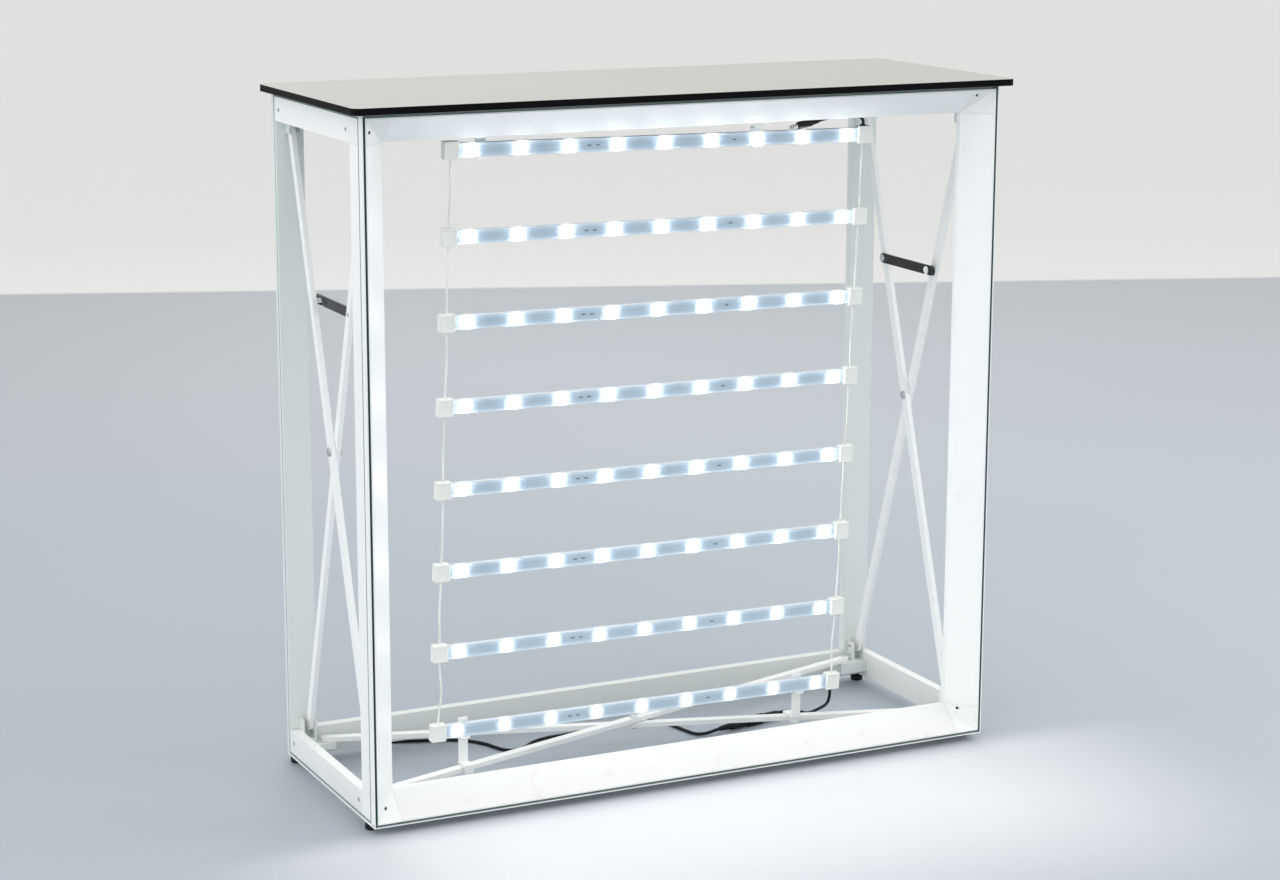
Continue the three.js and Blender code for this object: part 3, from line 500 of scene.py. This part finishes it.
def lit_strip():
    """Pale blue strip with a painted glow, white round each lens and faint elsewhere, with the little parts
    between the lenses.

    The UV map holds metres along and across the bar."""
    finish = Finish("lit_strip")
    along, across, _ = finish.parts(finish.spot("UV"))
    from_lens = ((along * (1 / LENS_PITCH) + 0.5).fraction() - 0.5) * LENS_PITCH
    reach = (from_lens * from_lens + across * across).root()
    fade = finish.spread(reach, PAINTED_HALO_INNER, PAINTED_HALO_OUTER, 1.0, 0.0)
    painted_halo = fade * fade
    edge = finish.spread(abs(across), *STRIP_PALER, 0.0, 1.0)
    pair = abs(abs(along + PARTS_FROM_MIDDLE) - PAIR_OFFSET).below(PAIR_HALF)
    single = abs(along - PARTS_FROM_MIDDLE).below(SINGLE_HALF)
    dash = pair.either(single) * abs(across).below(PART_HALF_TALL)
    blue = finish.mixed(edge, color(0.39, 0.50, 0.59), color(0.58, 0.67, 0.75))
    base = finish.mixed(dash, blue, color(0.10, 0.12, 0.14))
    # Painted light: lens light as emission, white in the halo round each lens, faint blue on the rest, none
    # on the parts
    glow = finish.mixed(painted_halo - dash, color(0.02, 0.03, 0.045), color(1.0, 1.0, 1.0))
    sheen = finish.noise(finish.stretched(finish.spot(), (4.0, 300.0, 900.0)), 2.0, 2.0)
    return finish.set(
        Base_Color=base,
        Roughness=finish.spread(sheen, 0.3, 0.7, 0.22, 0.36),
        Emission_Color=glow,
        Emission_Strength=0.45,
        Coat_Weight=0.3,
    )


def lit_lens():
    """Lens over a lit diode: white-hot, and dimmer low down, where it would wash out the bottom rail."""
    finish = Finish("lit_lens")
    place = finish.spot()
    speck = finish.noise(place, 400.0, 2.0)
    white = finish.mixed(speck, color(1.0, 1.0, 1.0), color(0.93, 0.97, 1.0))
    z = finish.parts(place)[2]
    height = finish.spread(z, *DIM_HEIGHTS, 0.0, 1.0)
    return finish.set(
        Base_Color=color(0.95, 0.97, 1.0),
        Roughness=0.12,
        Emission_Color=finish.mixed(height, color(0.2, 0.205, 0.21), white),
        Emission_Strength=26.0,
    )


def floor_finish():
    """Cool grey floor, pale where light falls out of the front and beyond a straight edge far behind."""
    finish = Finish("studio_floor")
    place = finish.spot()
    x, y, _ = finish.parts(place)
    depth = x * math.sin(FLOOR_HEADING) + y * math.cos(FLOOR_HEADING)
    far = finish.spread(depth, FLOOR_EDGE, FLOOR_EDGE + FLOOR_EDGE_BLUR, 0.0, 1.0)
    soft = finish.noise(place, 0.8, 2.0)
    grey = finish.mixed(soft, color(0.405, 0.445, 0.495), color(0.38, 0.42, 0.47))
    grey = finish.mixed(finish.spread(depth, *GREY_DRIFT_BACK, 0.0, 0.8), grey, color(0.43, 0.435, 0.455))
    grey = finish.mixed(finish.spread(x, *GREY_DRIFT_ASIDE, 0.0, 0.5), grey, color(0.51, 0.56, 0.595))
    aside = finish.spread(abs(x), *GLOW_ASIDE, 1.0, 0.0)
    ahead = finish.spread(y, *GLOW_START, 1.0, 0.0) * finish.spread(y, *GLOW_END, 0.0, 1.0)
    near = finish.mixed(aside * ahead, grey, color(0.735, 0.755, 0.78))
    return finish.set(
        Base_Color=finish.mixed(far, near, color(0.60, 0.60, 0.59)),
        Roughness=0.6,
        Specular_IOR_Level=0.2,
        Emission_Color=finish.mixed(far, color(0, 0, 0), color(0.30, 0.298, 0.29)),
        Emission_Strength=0.5,
    )


def dress(material, *names):
    """Gives CAD nodes their finish."""
    for name in names:
        slots = nodes[name].material_slots
        if slots:
            for entry in slots:
                entry.material = material
        else:
            nodes[name].data.materials.append(material)


def clear_selection():
    bpy.ops.object.select_all(action="DESELECT")


def new_piece(name, material):
    piece = bpy.context.object
    piece.name = name
    piece.data.name = name
    piece.data.materials.clear()
    piece.data.materials.append(material)
    return piece


def pick(piece, kind, wanted):
    """Selects the vertices, edges or faces of a piece that a test accepts, and enters edit mode."""
    kinds = ("vertices", "edges", "polygons")
    bpy.context.tool_settings.mesh_select_mode = [kind == name for name in kinds]
    mesh = piece.data
    for group in (mesh.vertices, mesh.edges, mesh.polygons):
        for item in group:
            item.select = False
    for item in getattr(mesh, kind):
        item.select = wanted(item)
    bpy.ops.object.mode_set(mode="EDIT")


def leave_edit():
    bpy.ops.object.mode_set(mode="OBJECT")


def apply_modifier(piece, name, kind, **settings):
    modifier = piece.modifiers.new(name, kind)
    for key, value in settings.items():
        setattr(modifier, key, value)
    bpy.context.view_layer.objects.active = piece
    bpy.ops.object.modifier_apply(modifier=name)


def bake_place(piece, matrix):
    """Moves a finished piece's mesh to its place, leaving the object at the origin."""
    piece.data.transform(matrix)
    piece.data.update()


def smooth(piece, angle=35):
    clear_selection()
    piece.select_set(True)
    bpy.context.view_layer.objects.active = piece
    bpy.ops.object.shade_smooth_by_angle(angle=math.radians(angle))


def add_block(name, material, size, middle=(0, 0, 0)):
    clear_selection()
    bpy.ops.mesh.primitive_cube_add(size=1, location=(0, 0, 0))
    piece = new_piece(name, material)
    bake_place(piece, Matrix.Translation(middle) @ Matrix.Diagonal((*size, 1)))
    return piece


def turned(name, material, rings, sides=32):
    """A turned piece about Z: a disc drawn out ring by ring from (radius, height) pairs."""
    clear_selection()
    radius, height = rings[0]
    bpy.ops.mesh.primitive_circle_add(
        vertices=sides, radius=radius, fill_type="NGON", location=(0, 0, 0)
    )
    piece = new_piece(name, material)
    bake_place(piece, Matrix.Translation((0, 0, height)))
    pick(piece, "polygons", lambda face: True)
    for next_radius, next_height in rings[1:]:
        bpy.ops.mesh.extrude_region_move(
            TRANSFORM_OT_translate={"value": (0, 0, next_height - height)}
        )
        factor = next_radius / radius
        bpy.ops.transform.resize(value=(factor, factor, 1))
        radius, height = next_radius, next_height
    bpy.ops.mesh.select_all(action="SELECT")
    bpy.ops.mesh.normals_make_consistent(inside=False)
    leave_edit()
    return piece


def join(pieces):
    clear_selection()
    for piece in pieces:
        piece.select_set(True)
    bpy.context.view_layer.objects.active = pieces[0]
    bpy.ops.object.join()
    return pieces[0]


def copy_of(piece, name):
    twin = piece.copy()
    twin.data = piece.data.copy()
    twin.name = name
    twin.data.name = name
    bpy.context.collection.objects.link(twin)
    return twin


def facing(start, end):
    """The turn and move that carry +Z onto the line from start to end."""
    heading = (Vector(end) - Vector(start)).normalized()
    turn = Vector((0, 0, 1)).rotation_difference(heading).to_matrix().to_4x4()
    return Matrix.Translation(start) @ turn


# Light bars

def fluted_strip(material):
    """The strip between the caps: lips along both edges and shallow flutes between them."""
    strip = add_block("strip", material, (2 * BAR_HALF, BAR_THICK, BAR_TALL))
    heights = [LIP_EDGE, *FLUTES]
    for line in sorted(heights + [-height for height in heights]):
        pick(strip, "polygons", lambda face: True)
        bpy.ops.mesh.bisect(plane_co=(0, 0, line * MM), plane_no=(0, 0, 1))
        leave_edit()
    front = -BAR_THICK / 2
    for offset, depth in FLUTES.items():
        def on_line(vertex, offset=offset):
            at_front = abs(vertex.co.y - front) < SAME_PLACE
            return at_front and abs(abs(vertex.co.z) - offset * MM) < SAME_PLACE
        pick(strip, "vertices", on_line)
        bpy.ops.transform.translate(value=(0, depth * MM, 0))
        leave_edit()
    return strip


def lens_row(shell, glow):
    """Nine lens modules: a bevelled base plate with a dome on it, repeated along the bar."""
    plate = add_block("lens_plate", shell, LENS_PLATE, (0, LENS_FLOOR + LENS_PLATE_SUNK, 0))
    apply_modifier(plate, "Edges", "BEVEL", width=LENS_PLATE_EDGE, segments=2)
    clear_selection()
    bpy.ops.mesh.primitive_uv_sphere_add(segments=24, ring_count=14, radius=LENS_RADIUS, location=(0, 0, 0))
    dome = new_piece("lens_dome", glow)
    bake_place(dome, Matrix.Diagonal((1, LENS_PROUD / LENS_RADIUS, 1, 1)))
    pick(dome, "polygons", lambda face: True)
    bpy.ops.mesh.bisect(plane_co=(0, LENS_CUT, 0), plane_no=(0, 1, 0), clear_outer=True, use_fill=True)
    leave_edit()
    bake_place(dome, Matrix.Translation((0, LENS_FLOOR, 0)))
    module = join([plate, dome])
    apply_modifier(
        module, "Row", "ARRAY", count=LENS_COUNT, use_relative_offset=False,
        use_constant_offset=True, constant_offset_displace=(LENS_PITCH, 0, 0),
    )
    bake_place(module, Matrix.Translation((-(LENS_COUNT - 1) / 2 * LENS_PITCH, 0, 0)))
    return module


def end_cap(side, material):
    """End cap: rounded block with sunk panels on its end and front, and collars for the cord."""
    middle = side * (BAR_HALF + CAP_SIZE.x / 2)
    cap = add_block("cap", material, CAP_SIZE)
    pick(cap, "polygons", lambda face: face.normal.x * side > 0.9 or face.normal.y < -0.9)
    bpy.ops.mesh.inset(thickness=PANEL_MARGIN, depth=0, use_individual=True)
    bpy.ops.mesh.inset(thickness=PANEL_STEP, depth=-PANEL_DEPTH, use_individual=True)
    leave_edit()
    apply_modifier(cap, "Edges", "BEVEL", width=CAP_EDGE, segments=3, limit_method="ANGLE")
    collars = []
    for end in (-1, 1):
        clear_selection()
        bpy.ops.mesh.primitive_torus_add(
            major_radius=COLLAR_RADIUS, minor_radius=COLLAR_WALL, major_segments=20, minor_segments=8,
            location=(0, 0, 0),
        )
        collar = new_piece("cord_collar", material)
        height = end * (CAP_SIZE.z / 2 - COLLAR_SUNK)
        bake_place(collar, Matrix.Translation((side * CORD_X - middle, 0, height)))
        collars.append(collar)
    whole = join([cap] + collars)
    bake_place(whole, Matrix.Translation((middle, 0, 0)))
    return whole


def map_bar(bar):
    """Writes metres along and across the bar into its UV map."""
    layer = bar.data.uv_layers.active or bar.data.uv_layers.new(name="along_bar")
    for loop in bar.data.loops:
        spot = bar.data.vertices[loop.vertex_index].co
        layer.data[loop.index].uv = (spot.x, spot.z)


def lead_gland(name, material, end):
    """Ribbed strain relief on a cap, where a lead leaves it upwards or downwards."""
    base = CAP_SIZE.z / 2
    rings = [(4.4, 0), (4.4, 0.9), (3.9, 1.1), (3.9, 1.5), (3.7, 1.6), (3.5, 2.2), (3.3, 2.45)]
    gland = turned(name, material, [(r * MM, base + h * MM) for r, h in rings], 24)
    if end < 0:
        bake_place(gland, Matrix.Rotation(math.pi, 4, "X"))
    bake_place(gland, Matrix.Translation((GLAND_X, 0, 0)))
    smooth(gland)
    return gland


def make_bars(finishes):
    caps = [end_cap(side, finishes["cap"]) for side in (-1, 1)]
    strip = fluted_strip(finishes["strip"])
    master = join([strip, lens_row(finishes["cap"], finishes["lens"])] + caps)
    map_bar(master)
    smooth(master)
    for number in range(1, BAR_COUNT + 1):
        bar = copy_of(master, f"lit_bar_{number}")
        place = CURTAIN @ Matrix.Translation((0, 0, (BAR_COUNT - number) * BAR_PITCH))
        bake_place(bar, place)
        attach(bar, ROOT)
        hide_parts(f"light_bar_{number}")
        if number in (1, BAR_COUNT):
            gland = lead_gland(f"lead_gland_{number}", finishes["plug"], 1 if number == 1 else -1)
            bake_place(gland, place)
            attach(gland, ROOT)
    bpy.data.objects.remove(master)


# Plugs and leads

def ribs(length, thin, thick, count):
    """Rings of a ribbed strain relief that grows from thin to thick."""
    pitch = length / count
    rings = []
    for i in range(count):
        radius = thin + (thick - thin) * i / max(count - 1, 1)
        for share, drop in ((0.0, 0.5), (0.08, 0.0), (0.55, 0.0), (0.63, 0.8), (0.95, 0.8)):
            rings.append((radius - drop, (i + share) * pitch))
    return rings


def inline_half(name, material, length, start, end):
    """One half of the inline connector: ribbed relief, waisted body and a grooved ring nut."""
    rings = ribs(22, 3.6, 5.0, 5)
    rings += [(5.6, 22), (6.4, 22.6), (6.9, length - 23), (6.6, length - 21.5), (5.9, length - 19.5)]
    rings += [(5.9, length - 17), (7.5, length - 16.4), (8.0, length - 15.4)]
    for groove in range(4):
        at = length - 13.4 + groove * 2.8
        rings += [(8.0, at), (7.6, at + 0.3), (7.6, at + 0.7), (8.0, at + 1.0)]
    rings += [(8.0, length - 1.6), (7.2, length - 0.2)]
    half = turned(name, material, [(r * MM, h * MM) for r, h in rings], 36)
    bake_place(half, facing(start, end))
    smooth(half, 30)
    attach(half, ROOT)
    return half


def barrel_plug(name, material, metal, start, end):
    """Moulded plug with finger ribs and a bare metal barrel."""
    rings = ribs(12, 3.4, 4.4, 4) + [(4.9, 12), (5.5, 12.6)]
    for groove in range(4):
        at = 15 + groove * 4
        rings += [(5.5, at), (5.0, at + 0.5), (5.0, at + 1.3), (5.5, at + 1.8)]
    rings += [(5.5, 33), (4.8, 35.4)]
    grip = turned("plug_grip", material, [(r * MM, h * MM) for r, h in rings])
    tip = [(2.2, 34.5), (2.6, 35), (2.6, 46.4), (2.2, 47.2), (1.2, 47.2), (1.2, 40)]
    barrel = turned("plug_barrel", metal, [(r * MM, h * MM) for r, h in tip])
    plug = join([grip, barrel])
    plug.name = name
    bake_place(plug, facing(start, end))
    smooth(plug, 30)
    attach(plug, ROOT)
    return plug


def lead(name, material, points, diameter):
    """A smooth round lead through the route's points."""
    data = bpy.data.curves.new(name, "CURVE")
    data.dimensions = "3D"
    data.resolution_u = 6
    data.bevel_depth = diameter / 2
    data.bevel_resolution = 4
    data.use_fill_caps = True
    spline = data.splines.new("BEZIER")
    spline.bezier_points.add(len(points) - 1)
    for entry, point in zip(spline.bezier_points, points):
        entry.co = point
        entry.handle_left_type = entry.handle_right_type = "AUTO"
    data.materials.append(material)
    piece = bpy.data.objects.new(name, data)
    bpy.context.collection.objects.link(piece)
    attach(piece, ROOT)
    return piece


def coil_points():
    """The put-away coil: in along the floor, up one layer where the spiral turns, out on top."""
    middle = COIL_TURNS / 2
    points = []
    for step in range(int(COIL_TURNS * COIL_STEPS) + 1):
        turn = step / COIL_STEPS
        radius = COIL_INNER + COIL_PITCH * abs(turn - middle)
        angle = -math.pi / 2 - 2 * math.pi * turn
        share = min(max((turn - middle + COIL_RISE / 2) / COIL_RISE, 0), 1)
        rise = COIL_PITCH * share * share * (3 - 2 * share)
        spot = (COIL_MIDDLE[0] + radius * math.cos(angle), COIL_MIDDLE[1] + radius * math.sin(angle))
        points.append((*spot, COIL_FLOOR + rise))
    x, y, z = points[-1]
    points.append((x + COIL_TAIL, y, z))
    return points


def make_leads(finishes):
    jacket, plastic = finishes["jacket"], finishes["plug"]
    start, end = at_corner(CONNECTOR_START), at_corner(CONNECTOR_END)
    length = (end - start).length / MM
    socket_length = length * SOCKET_SHARE
    socket = inline_half("inline_socket_body", plastic, socket_length, start, end)
    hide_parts("inline_socket")
    plug = inline_half("inline_plug_body", plastic, length - socket_length - PLUG_GAP, end, start)
    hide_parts("inline_plug")
    top_plug = barrel_plug(
        "top_plug_body", plastic, finishes["zinc"], at_top_bar(TOP_PLUG[0]), at_top_bar(TOP_PLUG[1])
    )
    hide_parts("top_lead_plug")

    coil = coil_points()
    x, y, z = coil[-1]
    tail = at_corner((x + PLUG_GAP, y, z))
    tip = at_corner((x + PLUG_GAP + END_PLUG_LENGTH, y, z))
    end_plug = inline_half("supply_plug_body", plastic, END_PLUG_LENGTH, tail, tip)
    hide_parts("supply_end_plug")

    rows = [
        ("top_cable", [at_top_bar(p) for p in TOP_LEAD_ROUTE], TOP_LEAD_DIAMETER, "plug", "loose",
         ["top_lead"], [top_plug]),
        ("lower_cable", [at_corner(p) for p in LOWER_LEAD_ROUTE], LOWER_LEAD_DIAMETER, "connector",
         "hanging", ["lower_lead"], [socket]),
        ("supply_cable", [at_corner(p) for p in SUPPLY_ROUTE + coil], LEAD_DIAMETER, "plug", "coiled",
         ["supply_lead", "supply_coil"], [plug, end_plug]),
    ]
    for name, points, diameter, far_end, lay, solids, pieces in rows:
        cable = lead(name, jacket, points, diameter)
        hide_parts(*solids)


# Screws, and bracket slots of painted shade

def socket_screw(material):
    """Flat screw head with a sunk round socket, facing +Z."""
    rings = [(3.0, 0), (3.2, 0.15), (3.2, 0.45), (2.9, 0.6)]
    head = turned("screw_head", material, [(r * MM, h * MM) for r, h in rings], 24)
    pick(head, "polygons", lambda face: face.normal.z > 0.9)
    bpy.ops.mesh.inset(thickness=SCREW_RIM, depth=0)
    bpy.ops.mesh.inset(thickness=SCREW_STEP, depth=-SCREW_HOLE_DEPTH)
    leave_edit()
    return head


def make_screws(finishes):
    head = socket_screw(finishes["zinc"])
    half = FRAME_HALF
    spots = []
    for side in (-1, 1):
        for level in (-1, 1):
            for end, post in ((-1, FRONT_DEEP), (1, REAR_DEEP)):
                y = FRAME_MIDDLE.y + end * (half.y - post - SCREW_FROM_POST)
                z = FRAME_MIDDLE.z + level * (half.z - SIDE_SCREW_IN)
                spots.append(((side * half.x, y, z), (side, 0, 0)))
            z = FRAME_MIDDLE.z + level * (half.z - REAR_SCREW_IN)
            spots.append(((side * (half.x - REAR_SCREW_ASIDE), CORNER.y + 2 * half.y, z), (0, 1, 0)))
    for number, (spot, outward) in enumerate(spots, 1):
        set_on_face(head, f"frame_screw_{number:02d}", spot, outward)
    bpy.data.objects.remove(head)


def set_on_face(head, name, spot, outward):
    """Puts a copy of a screw or slot on a surface, sunk a little so that it never floats."""
    screw = copy_of(head, name)
    spot = Vector(spot) - Vector(outward) * SCREW_SUNK
    bake_place(screw, facing(spot, spot + Vector(outward)))
    smooth(screw, 30)
    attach(screw, ROOT)


def make_corner_screws(finishes):
    """Dark screws down in the front corners' holes, each named with its place in the frame's face."""
    rings = [(1.6, -4.5), (1.7, -0.8), (2.2, -0.6), (2.3, 0), (2.0, 0.4), (1.0, 0.4), (0.9, -0.6)]
    head = turned("corner_screw", finishes["steel"], [(r * MM, h * MM) for r, h in rings], 16)
    slope = REFLECTOR_DEPTH / (FACE_WIDTH - REFLECTOR_START)
    for name, (inward, upward), right, top in CORNER_HOLES:
        face = slope * (max(min(inward, upward), REFLECTOR_START) - REFLECTOR_START)
        x = FACE_SPAN - inward if right else inward
        z = FACE_SPAN - upward if top else upward
        set_on_face(head, name, at_corner((x, face + HOLE_SUNK, z)), (0, -1, 0))
    bpy.data.objects.remove(head)


def bracket_slot(material):
    """A dark slot of painted shade with round ends and a raised rim, facing +Z and drawn out along Y."""
    slot = add_block("slot", material, SLOT_SIZE, (0, 0, SLOT_RISE))
    pick(slot, "edges", lambda edge: abs(upright_share(slot, edge)) > 0.9)
    bpy.ops.mesh.bevel(offset=SLOT_ROUND, segments=4)
    leave_edit()
    pick(slot, "polygons", lambda face: face.normal.z > 0.9)
    bpy.ops.mesh.inset(thickness=SLOT_RIM, depth=-SLOT_SUNK)
    leave_edit()
    return slot


def upright_share(piece, edge):
    """How far an edge points along Z, from -1 to 1."""
    one, other = (piece.data.vertices[i].co for i in edge.vertices)
    return (other - one).normalized().z


def make_bracket_slots(finishes):
    """Dark slots of painted shade in the inner cheeks of the rear corners' brace cradles."""
    # Dark steel as painted shade where the slots' hollows are
    slot = bracket_slot(finishes["steel"])
    for side, x, outward in CHEEKS:
        for number, z in enumerate(SLOT_HEIGHTS, 1):
            spot = at_corner((x, SLOT_BACK + SLOT_STAGGER * (number % 2), z))
            set_on_face(slot, f"rear_{side}_slot_{number}", spot, (outward, 0, 0))
    bpy.data.objects.remove(slot)


# Camera, floor and light

def make_camera():
    data = bpy.data.cameras.new("photo_camera")
    data.lens = CAMERA_LENS
    data.sensor_width = CAMERA_SENSOR
    data.sensor_fit = "HORIZONTAL"
    camera = bpy.data.objects.new("photo_camera", data)
    bpy.context.collection.objects.link(camera)
    camera.matrix_world = (
        Matrix.Translation(CAMERA_PLACE)
        @ Matrix.Rotation(-CAMERA_YAW, 4, "Z")
        @ Matrix.Rotation(math.pi / 2 - CAMERA_PITCH, 4, "X")
        @ Matrix.Rotation(CAMERA_ROLL, 4, "Z")
    )
    bpy.context.scene.camera = camera


def make_floor():
    clear_selection()
    bpy.ops.mesh.primitive_circle_add(
        vertices=96, radius=FLOOR_RADIUS, fill_type="NGON", location=(0, 0, 0)
    )
    floor = new_piece("studio_floor", floor_finish())
    bake_place(floor, Matrix.Translation((0, 0, -FLOOR_DROP)))


def area_light(name, place, target_height, size, power):
    data = bpy.data.lights.new(name, "AREA")
    data.shape = "DISK"
    data.size = size
    data.energy = power
    lamp = bpy.data.objects.new(name, data)
    bpy.context.collection.objects.link(lamp)
    heading = Vector((0, 0, target_height)) - Vector(place)
    lamp.rotation_euler = heading.to_track_quat("-Z", "Y").to_euler()
    lamp.location = place


def make_light():
    world = bpy.data.worlds.new("studio_sky")
    world.use_nodes = True
    background = world.node_tree.nodes["Background"]
    background.inputs["Color"].default_value = SKY_COLOR
    background.inputs["Strength"].default_value = SKY_STRENGTH
    bpy.context.scene.world = world
    for lamp in LAMPS:
        area_light(*lamp)


finishes = {
    "front": powder_coat("white_powder_coat", color(0.90, 0.915, 0.91), color(0.87, 0.89, 0.885)),
    # The rear frame's coat: the white coat darkened to greenish grey as painted shade
    "rear": powder_coat("white_coat_in_painted_shade", color(0.74, 0.785, 0.77), color(0.70, 0.75, 0.735)),
    "moulding": moulding("white_moulding", color(0.875, 0.89, 0.88), color(0.84, 0.86, 0.85)),
    # The rear corners: the white moulding darkened to greenish grey as painted shade
    "moulding_in_painted_shade": moulding("moulding_in_painted_shade", color(0.72, 0.765, 0.75), color(0.67, 0.72, 0.705)),
    "cap": moulding("cap_moulding", color(0.84, 0.86, 0.82), color(0.80, 0.825, 0.785)),
    "laminate": laminate(),
    "steel": dark_steel(),
    "zinc": zinc_steel(),
    "foot": rubber("foot_rubber", color(0.012, 0.012, 0.013), color(0.05, 0.05, 0.05)),
    "jacket": rubber("cable_jacket", color(0.010, 0.010, 0.011), color(0.03, 0.03, 0.03)),
    "plug": rubber("plug_plastic", color(0.012, 0.012, 0.013), color(0.04, 0.04, 0.042)),
    "cord": braided_cord(),
    "strip": lit_strip(),
    "lens": lit_lens(),
}

make_camera()
make_leads(finishes)
make_bars(finishes)
make_screws(finishes)
make_corner_screws(finishes)
make_bracket_slots(finishes)

dress(finishes["laminate"], "counter_top")
for side in SIDES:
    dress(finishes["front"], f"front_{side}_post", f"{side}_top_rail", f"{side}_bottom_rail")
    dress(finishes["front"], f"{side}_fixed_brace", f"{side}_fold_brace")
    # The rear frame takes the coat with painted shade
    dress(finishes["rear"], f"rear_{side}_post")
    dress(finishes["steel"], f"{side}_lock_link")
    dress(finishes["zinc"], f"{side}_brace_pivot", f"{side}_link_rivet")
    dress(finishes["cord"], f"{side}_ladder_cord")
    dress(finishes["moulding"], f"{side}_bar_stand", f"{side}_bar_hook")
    for level in LEVELS:
        dress(finishes["moulding"], f"front_{side}_{level}_corner")
        dress(finishes["moulding_in_painted_shade"], f"rear_{side}_{level}_corner")
    for end in ENDS:
        dress(finishes["foot"], f"{end}_{side}_foot")
for level in LEVELS:
    dress(finishes["front"], f"front_{level}_rail")
    dress(finishes["rear"], f"rear_{level}_rail")
dress(finishes["front"], "base_brace_upper", "base_brace_lower")
dress(finishes["zinc"], "base_brace_pivot")

make_floor()
make_light()
bpy.context.scene.view_settings.view_transform = "Standard"
